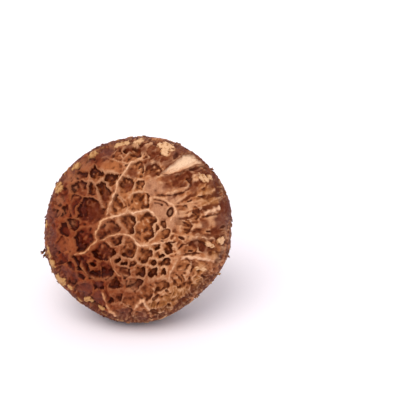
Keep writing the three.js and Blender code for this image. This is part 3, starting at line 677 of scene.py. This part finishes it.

    # where the skin stands out a painted highlight lightens it, and where it is sunken painted shade
    # darkens it, at a fine scale and at a broad one
    edge_highlight_and_shade = relief - eased(relief, ends, 9)
    edge_highlight_and_shade *= (0.8 + 0.7 * lumpy(skin, 1.3, seed=23)) * (1 - 0.4 * outer)
    broad_highlight_and_shade = relief - eased(relief, ends, 45)
    pale = u + 0.5 * np.minimum(v, 0) + 0.7 * np.clip(v, 0, 9) - 0.6 * np.maximum(0, v - 14)
    pale += 0.8 * np.maximum(0, -14 - v) + 5 * lumpy(skin, 7, seed=51)
    marks = {
        "hollow": hollow, "wall_shade": wall_shade, "crest": crest, "band": band, "cut": cut,
        "torn": torn, "torn_edge": torn_edge, "flesh": flesh, "pale": smooth(-17, 6, pale),
        "veil": veil, "veil_light": veil_light, "crack": crack,
        "edge_highlight_and_shade": 0.5 + 2.4 * edge_highlight_and_shade, "broad_highlight_and_shade": 0.5 + 0.85 * broad_highlight_and_shade,
        "streaks": 0.5 + 0.75 * streaks,
        "rim": smooth(23.8, 27.8, reach) * (0.7 + 0.9 * lumpy(skin, 3.0, 3, seed=45)),
        "under": under, "fibrils": under * fibrils,
        "lip": smooth(5, 12.5, beyond + 2.0 * leather),
        "lip_edge": smooth(13.5, 15.5, beyond + 1.2 * frayed),
    }
    fuzz = 0.35 * lumpy(skin, 2.0, 3, seed=25)
    for name, patches in PATCHES.items():
        marks[name] = patches_at(u, v, patches, fuzz) * np.where(on_dome, 1, smooth(8, 0, beyond))
    return shape, marks


def colour(hex_value):
    """An sRGB hex value as linear red, green, blue and alpha."""
    channels = [int(hex_value[i:i + 2], 16) / 255 for i in (0, 2, 4)]
    return [c / 12.92 if c <= 0.04045 else ((c + 0.055) / 1.055) ** 2.4 for c in channels] + [1]


def add(tree, kind, inputs, out=0, **settings):
    """Adds a shader node: each input is a value or another node's output. Returns its output."""
    node = tree.nodes.new("ShaderNode" + kind)
    for name, value in settings.items():
        setattr(node, name, value)
    for name, value in inputs.items():
        if isinstance(value, bpy.types.NodeSocket):
            tree.links.new(value, node.inputs[name])
        else:
            node.inputs[name].default_value = value
    return node.outputs[out] if len(node.outputs) else None


def new_tree(name):
    material = bpy.data.materials.new(name)
    material.use_nodes = True
    material.node_tree.nodes.clear()
    return material, material.node_tree


def finish_piece(shape, marks, name, material, node=None):
    mesh = bpy.data.meshes.new(name)
    bmesh.ops.recalc_face_normals(shape, faces=shape.faces)
    shape.to_mesh(mesh)
    shape.free()
    mesh.shade_smooth()
    for mark, values in marks.items():
        attribute = mesh.attributes.new(mark, "FLOAT", "POINT")
        attribute.data.foreach_set("value", np.asarray(values, np.float32))
    piece = bpy.data.objects.new(name, mesh)
    bpy.context.scene.collection.objects.link(piece)
    mesh.materials.append(material)
    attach(piece, "root")
    if node:
        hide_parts(node)


def lay_coats(tree, source, base, coats):
    """Lays coats over a base colour, each where its pattern runs from low to high. The first hue is
    for the dark side of the piece and the second for its pale side."""
    for follows, low, high, most, dark_side, pale_side in coats:
        share = add(tree, "MapRange", {0: source[follows], 1: low, 2: high, 3: 0, 4: most})
        hues = {0: source["pale"], 6: colour(dark_side), 7: colour(pale_side)}
        hue = add(tree, "Mix", hues, 2, data_type="RGBA")
        base = add(tree, "Mix", {0: share, 6: base, 7: hue}, 2, data_type="RGBA")
    return base


def cap_material(marks):
    """Shiitake skin, dried and wrinkled: leathery and dull on the ridges, darker, redder and a
    little glossy in the hollows, where it stayed moist, with cream veil and flesh where it tore.
    Painted shade darkens the hollows further towards their outer walls, the cuts, the pits and
    the sunken places, and a painted highlight lightens the raised edges."""
    material, tree = new_tree("shiitake_skin_dried")
    place = add(tree, "TexCoord", {}, "Object")
    source = {name: add(tree, "Attribute", {}, "Fac", attribute_name=name) for name in marks}
    # mottling about 1.6 mm across, a grain of about 0.4 mm and clouds of about 5 mm
    source["mottle"] = add(tree, "TexNoise", {"Vector": place, "Scale": 620, "Detail": 5, "Roughness": 0.6})
    source["grain"] = add(tree, "TexNoise", {"Vector": place, "Scale": 2400, "Detail": 3, "Roughness": 0.6})
    source["cloud"] = add(tree, "TexNoise", {"Vector": place, "Scale": 190, "Detail": 3, "Roughness": 0.5})

    # each coat: what it follows, from where to where, how strong, and its hues on either side
    coats = [
        ("cloud", 0.4, 0.62, 0.6, "6a2c12", "a35f34"),
        ("orange", 0, 1, 0.8, "b2663a", "b46c3c"),
        ("ochre", 0, 1.2, 0.5, "8a5826", "98662e"),
        ("grey", 0, 1, 0.8, "aa7656", "b58060"),
        ("under", 0, 1, 0.9, "4c1f10", "57260f"),
        ("lip", 0, 1, 0.9, "a4683f", "b27850"),
        ("lip_edge", 0, 1, 0.8, "d09c62", "d8a86c"),
        ("rim", 0.25, 1.0, 0.85, "663426", "542818"),
        # the hollows' own darker, redder brown, deepened towards the outer wall with painted shade
        ("hollow", 0.02, 0.4, 0.85, "661f08", "ae6a3c"),
        ("hollow", 0.45, 0.95, 0.85, "460b01", "9c5426"),
        # painted shade over broad sunken places and painted highlight over broad raised ones
        ("broad_highlight_and_shade", 0.48, 0.15, 0.85, "440f02", "5e2608"),
        ("broad_highlight_and_shade", 0.52, 0.85, 0.6, "8e4622", "cc946a"),
        ("mottle", 0.56, 0.72, 0.3, "8e4e30", "c08a5c"),
        ("mottle", 0.44, 0.3, 0.4, "481404", "682c0f"),
        ("fibrils", 0.15, 0.6, 0.6, "965430", "9c5a34"),
        ("fibrils", -0.15, -0.6, 0.5, "34130a", "3c180c"),
        ("streaks", 0.52, 0.22, 0.8, "5a2208", "64290e"),
        ("streaks", 0.56, 0.85, 0.55, "a86a44", "d09c74"),
        # painted shade along the steep outer walls of the hollows
        ("wall_shade", 0.1, 0.9, 0.5, "3c0b02", "502008"),
        ("rim", 0.3, 1.0, 0.6, "582a1c", "522213"),
        ("tan", 0, 1, 0.55, "a86844", "b27c56"),
        # painted shade in fine sunken places and painted highlight along the raised edges
        ("edge_highlight_and_shade", 0.45, 0.15, 0.85, "340901", "4a1c05"),
        ("edge_highlight_and_shade", 0.55, 0.92, 0.65, "8e502e", "dca880"),
        ("red", 0, 1, 0.75, "5e2009", "66280f"),
        ("purple", 0, 1, 0.5, "6a3a30", "704034"),
        ("band", 0.2, 0.9, 0.5, "a0603a", "c48c66"),
        ("crest", 0.3, 0.8, 0.8, "dca070", "f0c09a"),
        # painted shade in the cuts and pits
        ("cut", 0.2, 0.8, 0.7, "3a1206", "4c200e"),
        ("crack", 0.3, 1.0, 0.45, "a8704c", "b88460"),
        ("torn_edge", 0.2, 0.9, 0.75, "6e3418", "6e3418"),
        ("veil", 0.1, 0.6, 0.8, "9a6638", "ba8454"),
        ("veil_light", 0.1, 0.9, 0.8, "c69660", "eabb90"),
    ]
    hues = {0: source["pale"], 6: colour("823818"), 7: colour("aa6840")}
    base = lay_coats(tree, source, add(tree, "Mix", hues, 2, data_type="RGBA"), coats)
    # the flesh in the slit, darker at its lower edge, and a dark grain over all
    hues = {0: source["flesh"], 6: colour("c4845a"), 7: colour("f0c8a4")}
    flesh = add(tree, "Mix", hues, 2, data_type="RGBA")
    base = add(tree, "Mix", {0: source["torn"], 6: base, 7: flesh}, 2, data_type="RGBA")
    base = lay_coats(tree, source, base, [("grain", 0.5, 0.25, 0.4, "45200f", "45200f")])

    fine = add(tree, "Bump", {"Height": source["grain"], "Strength": 0.35, "Distance": 0.0002})
    coarse = {"Height": source["mottle"], "Normal": fine, "Strength": 0.5, "Distance": 0.0005}
    bump = add(tree, "Bump", coarse)
    moist = add(tree, "Math", {0: source["hollow"], 1: source["under"]}, operation="MAXIMUM")
    rough = add(tree, "MapRange", {0: moist, 1: 0, 2: 0.8, 3: 0.58, 4: 0.36})
    inputs = {
        "Base Color": base, "Roughness": rough, "Normal": bump, "IOR": 1.42, "Specular IOR Level": 0.1,
    }
    add(tree, "OutputMaterial", {"Surface": add(tree, "BsdfPrincipled", inputs)})
    return material


cap_shape, cap_marks = shape_cap()
finish_piece(cap_shape, cap_marks, "cap_flesh_and_skin", cap_material(cap_marks), "cap")

# Veil shreds
# Scraps of the veil that once joined the cap to the stem, dried on to the rim. Each is a thin
# curled flake of dead skin that holds on at one end and stands off the cap at the other.
SHRED_SEED = 11
SHRED_COUNT = 700
SHRED_THICKNESS = 0.14
SHRED_PLACES = (-3.5, 8.0)
SHRED_LENGTHS = (0.3, 0.9)
SHRED_WIDTHS = (0.4, 1.2)
SHRED_LIFTS = (-15, 14)
SHRED_CURL = 15
SHRED_CUPS = (-0.25, 0.35)
SHRED_TWISTS = (-1.1, 1.1)
SHRED_ROOT = 0.15
# they stand in clumps of about this size, where a noise passes the least share
SHRED_CLUMP = 5.0
SHRED_LEAST = 0.12
# the large ones: degrees round the rim, distance past it, length, width and lift in degrees
LARGE_SHREDS = [
    (193, 0.2, 1.9, 1.6, 50), (195, 0.4, 1.7, 1.5, 40), (196.5, 1.2, 1.3, 1.2, 35),
    (206, 0.5, 1.0, 1.0, 25),
    (214, 0.2, 1.1, 1.1, 20), (172, 0.2, 0.9, 0.8, 30), (151, -0.8, 1.0, 1.2, 15), (112, 0.2, 0.9, 1.0, 20),
    (64, 0.2, 1.0, 1.2, 20), (39, 0.2, 1.0, 1.1, 20), (344, 0.4, 1.1, 1.0, 30), (331, 0.3, 1.0, 1.0, 30),
]


def on_skin(turn, along):
    """A point of the upright cap's skin, the way out of it and the way down it."""
    radius, height, radius_step, height_step = profile_at(along)
    x, y = to_outline(radius * math.cos(turn), radius * math.sin(turn))
    out = Vector((-height_step * math.cos(turn), -height_step * math.sin(turn), radius_step))
    down = Vector((radius_step * math.cos(turn), radius_step * math.sin(turn), height_step))
    return Vector((x, y, height)), out, down


def shape_shreds():
    shape = bmesh.new()
    random = Random(SHRED_SEED)
    shreds = list(LARGE_SHREDS)
    for _ in range(SHRED_COUNT):
        ranges = ((0, 360), SHRED_PLACES, SHRED_LENGTHS, SHRED_WIDTHS, SHRED_LIFTS)
        shreds.append([random.uniform(*limits) for limits in ranges])
    for degrees, past_rim, length, width, lift in shreds:
        turn = math.radians(degrees)
        root, out, down = on_skin(turn, RIM_ALONG + past_rim)
        if lift <= SHRED_LIFTS[1] and noise.noise(root / SHRED_CLUMP) < SHRED_LEAST:
            continue
        around = out.cross(down)
        twist = random.uniform(*SHRED_TWISTS)
        forward = down * math.cos(twist) + around * math.sin(twist)
        sideways = out.cross(forward)
        cup = random.uniform(*SHRED_CUPS)
        flake = bmesh.ops.create_grid(shape, x_segments=3, y_segments=4, size=0.5)
        for vert in flake["verts"]:
            across, reach = vert.co.x * 2, vert.co.y + 0.5
            bend = math.radians(lift + SHRED_CURL * reach)
            half = 0.5 * width * (1 - 0.3 * reach**2) * (1 + 0.45 * random.uniform(-1, 1))
            point = root - out * SHRED_ROOT + sideways * across * half
            point += (forward * math.cos(bend) + out * math.sin(bend)) * reach * length
            vert.co = point + out * cup * width * across**2
    bmesh.ops.solidify(shape, geom=shape.faces[:], thickness=SHRED_THICKNESS)
    points, _ = read_shape(shape)
    marks = {"tone": 0.5 + 0.9 * lumpy(points, 2.2, 3, seed=17), "pale": smooth(-20, 20, points[:, 0])}
    place_points(shape, laid_down(points))
    return shape, marks


def shred_material(marks):
    """Dead veil skin, dried brittle: dull, rough, and anything from cream to nearly black."""
    material, tree = new_tree("mushroom_veil_dried")
    place = add(tree, "TexCoord", {}, "Object")
    source = {name: add(tree, "Attribute", {}, "Fac", attribute_name=name) for name in marks}
    # specks of about 0.4 mm
    source["speck"] = add(tree, "TexNoise", {"Vector": place, "Scale": 2400, "Detail": 3, "Roughness": 0.6})
    coats = [
        ("tone", 0.45, 0.2, 0.9, "3c1a10", "46241a"),
        ("tone", 0.6, 0.85, 0.9, "a87440", "b9854e"),
        ("tone", 0.85, 1.1, 0.8, "dcb884", "e4c694"),
        ("speck", 0.45, 0.3, 0.5, "32160c", "3c1c10"),
    ]
    hues = {0: source["pale"], 6: colour("6b3820"), 7: colour("7c4728")}
    base = lay_coats(tree, source, add(tree, "Mix", hues, 2, data_type="RGBA"), coats)
    inputs = {"Base Color": base, "Roughness": 0.8, "IOR": 1.4, "Specular IOR Level": 0.1}
    add(tree, "OutputMaterial", {"Surface": add(tree, "BsdfPrincipled", inputs)})
    return material


shred_shape, shred_marks = shape_shreds()
finish_piece(shred_shape, shred_marks, "veil_shreds", shred_material(shred_marks))

# Gills
# Thin cream blades of flesh that hang edge down under the cap, in one crowded ring from the margin
# to the stem, with shorter blades between the long ones. They all grow out of one thin plate.
GILL_INNER_RADIUS = 9.3
GILL_ROOT_HEIGHT = 5.0
GILL_DEPTH = 2.4
GILL_THICKNESS = 0.2
GILL_WAVE = 0.4
GILL_WAVE_LENGTH = 2.6
GILL_NOTCH = 0.12
GILL_INTO_PLATE = 0.3
GILL_END_GAP = 0.02
GILL_CELLS = (18, 3)
GILL_ARCH = [(0, 0.25), (0.12, 0.75), (0.36, 1), (0.64, 1), (0.88, 0.8), (1, 0.3)]
# how many blades of a kind, how far round the first one stands as a share of their step, the radius
# that they start from, and their share of the depth
GILL_ROWS = [(56, 0, GILL_INNER_RADIUS, 1), (56, 0.5, 12.0, 0.85), (112, 0.5, 15.4, 0.6)]


def shape_gills():
    shape = bmesh.new()
    corners = [
        (GILL_INNER_RADIUS, GILL_ROOT_HEIGHT), (GILL_OUTER_RADIUS, GILL_ROOT_HEIGHT),
        (GILL_OUTER_RADIUS, GILL_TOP), (GILL_INNER_RADIUS, GILL_TOP),
    ]
    verts = [shape.verts.new((radius, 0, height)) for radius, height in corners]
    edges = [shape.edges.new((a, b)) for a, b in zip(verts, verts[1:] + verts[:1])]
    bmesh.ops.spin(
        shape, geom=verts + edges, cent=(0, 0, 0), axis=(0, 0, 1), angle=math.tau, steps=120, use_merge=True
    )
    plate_faces = set(shape.faces)
    arch_shares, arch_depths = zip(*GILL_ARCH)
    across, deep = GILL_CELLS
    for count, offset, start, reach in GILL_ROWS:
        for number in range(count):
            blade = bmesh.ops.create_grid(shape, x_segments=across, y_segments=deep, size=0.5)
            turn = math.tau * (number + offset) / count
            for vert in blade["verts"]:
                along, down = vert.co.x + 0.5, vert.co.y + 0.5
                radius = start + along * (GILL_OUTER_RADIUS - GILL_END_GAP - start)
                share = (radius - GILL_INNER_RADIUS) / (GILL_OUTER_RADIUS - GILL_INNER_RADIUS)
                arch = np.interp(share, arch_shares, arch_depths)
                depth = GILL_DEPTH * reach * arch * min(1, 0.15 + 4 * along)
                place = Vector((radius / GILL_WAVE_LENGTH, 7 * math.cos(turn), 7 * math.sin(turn)))
                wave = GILL_WAVE * noise.noise(place) * (0.3 + down)
                notch = GILL_NOTCH * noise.noise(place * 5) * down
                angle = turn + wave / radius
                height = GILL_ROOT_HEIGHT + GILL_INTO_PLATE - down * (depth + GILL_INTO_PLATE + notch)
                vert.co = (radius * math.cos(angle), radius * math.sin(angle), height)
    blades = [face for face in shape.faces if face not in plate_faces]
    bmesh.ops.solidify(shape, geom=blades, thickness=GILL_THICKNESS)
    points, _ = read_shape(shape)
    radius = np.hypot(points[:, 0], points[:, 1])
    marks = {
        "pale": smooth(GILL_INNER_RADIUS, GILL_OUTER_RADIUS, radius),
        "drop_shade": (GILL_ROOT_HEIGHT - points[:, 2]) / GILL_DEPTH,
        "stain": 0.5 + 0.8 * lumpy(points, 3.5, 3),
    }
    points[:, 0], points[:, 1] = to_outline(points[:, 0], points[:, 1])
    place_points(shape, laid_down(points))
    return shape, marks


def gill_material(marks):
    """Gill flesh, fresh and unwashed: matt cream that lets light through, darker tan on the plate and
    at the roots of the blades as painted shade between them, and browner in spots where it has been
    touched."""
    material, tree = new_tree("shiitake_gill_flesh_matt")
    place = add(tree, "TexCoord", {}, "Object")
    source = {name: add(tree, "Attribute", {}, "Fac", attribute_name=name) for name in marks}
    # specks of about 0.6 mm
    source["speck"] = add(tree, "TexNoise", {"Vector": place, "Scale": 1600, "Detail": 4, "Roughness": 0.6})
    coats = [
        # painted shade: darker tan on the plate and at the roots of the blades, where shade falls between
        # them
        ("drop_shade", 0.45, -0.1, 0.9, "a67a4c", "a87a48"),
        ("stain", 0.65, 1.0, 0.5, "dfbf90", "d8b482"),
        ("speck", 0.6, 0.75, 0.4, "b98d5c", "b98d5c"),
    ]
    hues = {0: source["pale"], 6: colour("fdf4dc"), 7: colour("f9ebcb")}
    base = lay_coats(tree, source, add(tree, "Mix", hues, 2, data_type="RGBA"), coats)
    bump = add(tree, "Bump", {"Height": source["speck"], "Strength": 0.3, "Distance": 0.0002})
    inputs = {"Base Color": base, "Roughness": 0.72, "Normal": bump, "IOR": 1.4, "Specular IOR Level": 0.3}
    add(tree, "OutputMaterial", {"Surface": add(tree, "BsdfPrincipled", inputs)})
    return material


gill_shape, gill_marks = shape_gills()
finish_piece(gill_shape, gill_marks, "gill_blades", gill_material(gill_marks), "gills")

# Stem
# A firm stalk of upright fibres, narrow in the middle and swollen above the cut, with scurf left by
# the veil. It grew out of the flesh of the cap, and was cut straight across with a knife.
STEM_PROFILE = [
    (0, 9.0), (0.1, 8.8), (0.25, 8.2), (0.4, 8.0), (0.52, 8.3), (0.63, 9.1), (0.74, 9.9), (0.84, 9.9),
    (0.93, 9.2), (1, 8.3),
]
STEM_BEND = (1.4, -0.9)
STEM_STEPS = 16
STEM_END_STEPS = 22
STEM_TURN_STEPS = 128
CUT_EDGE_RADIUS = 0.45


def stem_reach():
    """How far the cut end lies below the lip, from the stem's furthest point in the frame."""
    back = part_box("stem")[1].y / MM - PLACE[1]
    end_radius = STEM_PROFILE[-1][1] + STEM_BEND[1]
    return (back - end_radius * math.sin(REST_TILT)) / math.cos(REST_TILT)


def shape_stem():
    length = GILL_TOP + stem_reach()
    knots = np.array([STEM_PROFILE[0], *STEM_PROFILE, STEM_PROFILE[-1]])
    side = [
        curve_between(*knots[i:i + 4], step / STEM_STEPS)
        for i in range(len(STEM_PROFILE) - 1)
        for step in range(STEM_STEPS)
    ]
    end_radius = STEM_PROFILE[-1][1]
    rounding = np.linspace(0, math.pi / 2, 5)
    corner = [
        (end_radius - CUT_EDGE_RADIUS * (1 - math.cos(t)), -length + CUT_EDGE_RADIUS * (1 - math.sin(t)))
        for t in rounding
    ]
    face = [(radius, -length) for radius in np.linspace(corner[-1][0], 0, STEM_END_STEPS)[1:]]
    outline = [(0, 0), (4, 0)]
    outline += [
        (radius, -share * length) for share, radius in side if share * length < length - CUT_EDGE_RADIUS
    ]
    outline += corner + face
    shape = bmesh.new()
    verts = [shape.verts.new((radius, 0, GILL_TOP + height)) for radius, height in outline]
    edges = [shape.edges.new(pair) for pair in zip(verts, verts[1:])]
    bmesh.ops.spin(
        shape, geom=verts + edges, cent=(0, 0, 0), axis=(0, 0, 1), angle=math.tau, steps=STEM_TURN_STEPS,
        use_merge=True,
    )
    bmesh.ops.remove_doubles(shape, verts=shape.verts, dist=0.001)
    bmesh.ops.recalc_face_normals(shape, faces=shape.faces)
    shape.normal_update()

    points, ends = read_shape(shape)
    normals = np.array([vert.normal for vert in shape.verts])
    x, y, z = points.T
    radius, turn = np.hypot(x, y), np.arctan2(y, x)
    share = (GILL_TOP - z) / length
    at_end = smooth(0.3, 0.02, length + z - GILL_TOP)
    on_side = 1 - at_end
    fibres = lumpy(round_rim(turn, 22, z / 6), 1, 3)
    creases = lumpy(round_rim(turn, 1.6, z / 0.9), 1, seed=30)
    neck = smooth(0.36, 0.5, share) * smooth(0.74, 0.6, share)
    lumps = lumpy(points, 5.5, seed=55)
    scurf = smooth(0.16, 0.34, lumpy(round_rim(turn, 9, z / 1.6), 1, 4, seed=80))
    scurf *= on_side * smooth(0.16, 0.34, share)
    grain = lumpy(points * (1, 1, 0.3), 0.8, 3, seed=12)
    end_grain = lumpy(points, 1.1, 4, seed=90)
    relief = on_side * (0.4 * lumps + 0.06 * fibres + 0.11 * creases * neck + 0.06 * grain + 0.14 * scurf)
    relief += at_end * (0.12 * end_grain + 0.25 * lumpy(points, 4, seed=20))
    relief *= smooth(0, 0.04, share)
    points = points + normals * relief[:, None]
    points[:, 0] += STEM_BEND[0] * share**2
    points[:, 1] += STEM_BEND[1] * share**2
    place_points(shape, laid_down(points))
    marks = {
        "pale": smooth(0.34, 0.02, share + 0.08 * fibres), "cut_face": at_end, "scurf": scurf,
        "fibres": 0.5 + 0.8 * fibres, "edge_highlight_and_shade": 0.5 + 3.0 * (relief - eased(relief, ends, 6)),
        "neck": neck, "creases": neck * creases, "stain": 0.5 + 0.9 * lumpy(points, 6, 3, seed=7),
        "rind": at_end * smooth(end_radius - 1.1, end_radius - 0.3, radius),
        "end_grain": at_end * (0.5 + 0.9 * end_grain),
    }
    return shape, marks


def stem_material(marks):
    """Stem rind, dry and fibrous: dull tan with brown scurf in long flakes, paler towards the gills,
    and a moist cream cut face, cleanly sliced, with a thin brown edge."""
    material, tree = new_tree("shiitake_stem_rind_fibrous")
    place = add(tree, "TexCoord", {}, "Object")
    source = {name: add(tree, "Attribute", {}, "Fac", attribute_name=name) for name in marks}
    # specks of about 0.5 mm, and mottling of about 2 mm
    source["speck"] = add(
        tree, "TexNoise", {"Vector": place, "Scale": 2000, "Detail": 4, "Roughness": 0.65}
    )
    source["mottle"] = add(tree, "TexNoise", {"Vector": place, "Scale": 500, "Detail": 4, "Roughness": 0.6})
    coats = [
        ("neck", 0, 1, 0.35, "b27854", "b27854"),
        ("stain", 0.5, 0.9, 0.6, "b98060", "d9b890"),
        ("mottle", 0.42, 0.3, 0.5, "a36e46", "c29a68"),
        ("mottle", 0.56, 0.7, 0.5, "ecd2a8", "f2e2c0"),
        ("fibres", 0.4, 0.1, 0.4, "9a6640", "c59d6c"),
        ("fibres", 0.6, 0.95, 0.35, "ecd0a4", "f3e4c2"),
        ("creases", -0.15, -0.5, 0.4, "8c5a38", "8c5a38"),
        ("scurf", 0.1, 0.9, 0.5, "94603a", "a97a4a"),
        # painted shade in the sunken places of the rind and painted highlight on the raised ones
        ("edge_highlight_and_shade", 0.42, 0.16, 0.65, "6b3c1f", "a97c4c"),
        ("edge_highlight_and_shade", 0.58, 0.9, 0.5, "f3dcb4", "f7ebcb"),
        ("cut_face", 0.3, 0.8, 1.0, "fcf5df", "fcf5df"),
        ("end_grain", 0.5, 1.0, 0.4, "ecd8ae", "ecd8ae"),
        ("rind", 0.2, 0.9, 0.8, "b08452", "b08452"),
        ("speck", 0.38, 0.28, 0.65, "6a3f22", "6a3f22"),
    ]
    hues = {0: source["pale"], 6: colour("d2a27c"), 7: colour("ecd4b0")}
    base = lay_coats(tree, source, add(tree, "Mix", hues, 2, data_type="RGBA"), coats)
    bump = add(tree, "Bump", {"Height": source["speck"], "Strength": 0.4, "Distance": 0.0003})
    inputs = {"Base Color": base, "Roughness": 0.66, "Normal": bump, "IOR": 1.4, "Specular IOR Level": 0.3}
    add(tree, "OutputMaterial", {"Surface": add(tree, "BsdfPrincipled", inputs)})
    return material


stem_shape, stem_marks = shape_stem()
finish_piece(stem_shape, stem_marks, "stem_stalk", stem_material(stem_marks), "stem")

# Floor, light and camera
# A sheet of white paper in soft daylight from the upper left, seen from a little above.
FLOOR_HALF_WIDTH = 3
floor_shape = bmesh.new()
bmesh.ops.create_grid(floor_shape, x_segments=1, y_segments=1, size=FLOOR_HALF_WIDTH)
floor_mesh = bpy.data.meshes.new("floor")
floor_shape.to_mesh(floor_mesh)
floor_shape.free()
floor = bpy.data.objects.new("floor", floor_mesh)
bpy.context.scene.collection.objects.link(floor)
paper, paper_tree = new_tree("white_paper_matt")
paper_surface = add(paper_tree, "BsdfPrincipled", {"Base Color": colour("f8f3f8"), "Roughness": 0.9})
add(paper_tree, "OutputMaterial", {"Surface": paper_surface})
floor_mesh.materials.append(paper)

SKY_STRENGTH = 0.9
world = bpy.data.worlds.new("studio")
bpy.context.scene.world = world
world.use_nodes = True
sky = world.node_tree.nodes["Background"].inputs
sky["Color"].default_value = colour("fbfaff")
sky["Strength"].default_value = SKY_STRENGTH

SUN_DIRECTION = (-0.45, -0.5, 1.35)
SUN_STRENGTH = 1.5
SUN_ANGLE = math.radians(50)
sun_data = bpy.data.lights.new("key", "SUN")
sun_data.energy = SUN_STRENGTH
sun_data.angle = SUN_ANGLE
sun_data.color = colour("fffaf4")[:3]
sun = bpy.data.objects.new("key", sun_data)
bpy.context.scene.collection.objects.link(sun)
sun.rotation_euler = Vector(SUN_DIRECTION).to_track_quat("Z", "Y").to_euler()

CAMERA_ELEVATION = math.radians(29)
CAMERA_DISTANCE = 0.62
FRAME_WIDTH = 0.127
FRAME_PIXELS = 400
CAP_CENTRE_PIXEL = (137.5, 229.0)
camera_data = bpy.data.cameras.new("camera")
camera = bpy.data.objects.new("camera", camera_data)
bpy.context.scene.collection.objects.link(camera)
bpy.context.scene.camera = camera
camera_data.lens = camera_data.sensor_width * CAMERA_DISTANCE / FRAME_WIDTH
back = Vector((0, -math.cos(CAMERA_ELEVATION), math.sin(CAMERA_ELEVATION)))
up = Vector((0, math.sin(CAMERA_ELEVATION), math.cos(CAMERA_ELEVATION)))
rim_centre = Vector(laid_down([(0, 0, WIDEST_HEIGHT)])[0])
per_pixel = FRAME_WIDTH / FRAME_PIXELS
aim = rim_centre + Vector((1, 0, 0)) * (FRAME_PIXELS / 2 - CAP_CENTRE_PIXEL[0]) * per_pixel
aim += up * (CAP_CENTRE_PIXEL[1] - FRAME_PIXELS / 2) * per_pixel
camera.location = aim + back * CAMERA_DISTANCE
camera.rotation_euler = back.to_track_quat("Z", "Y").to_euler()
bpy.context.scene.view_settings.view_transform = "Standard"
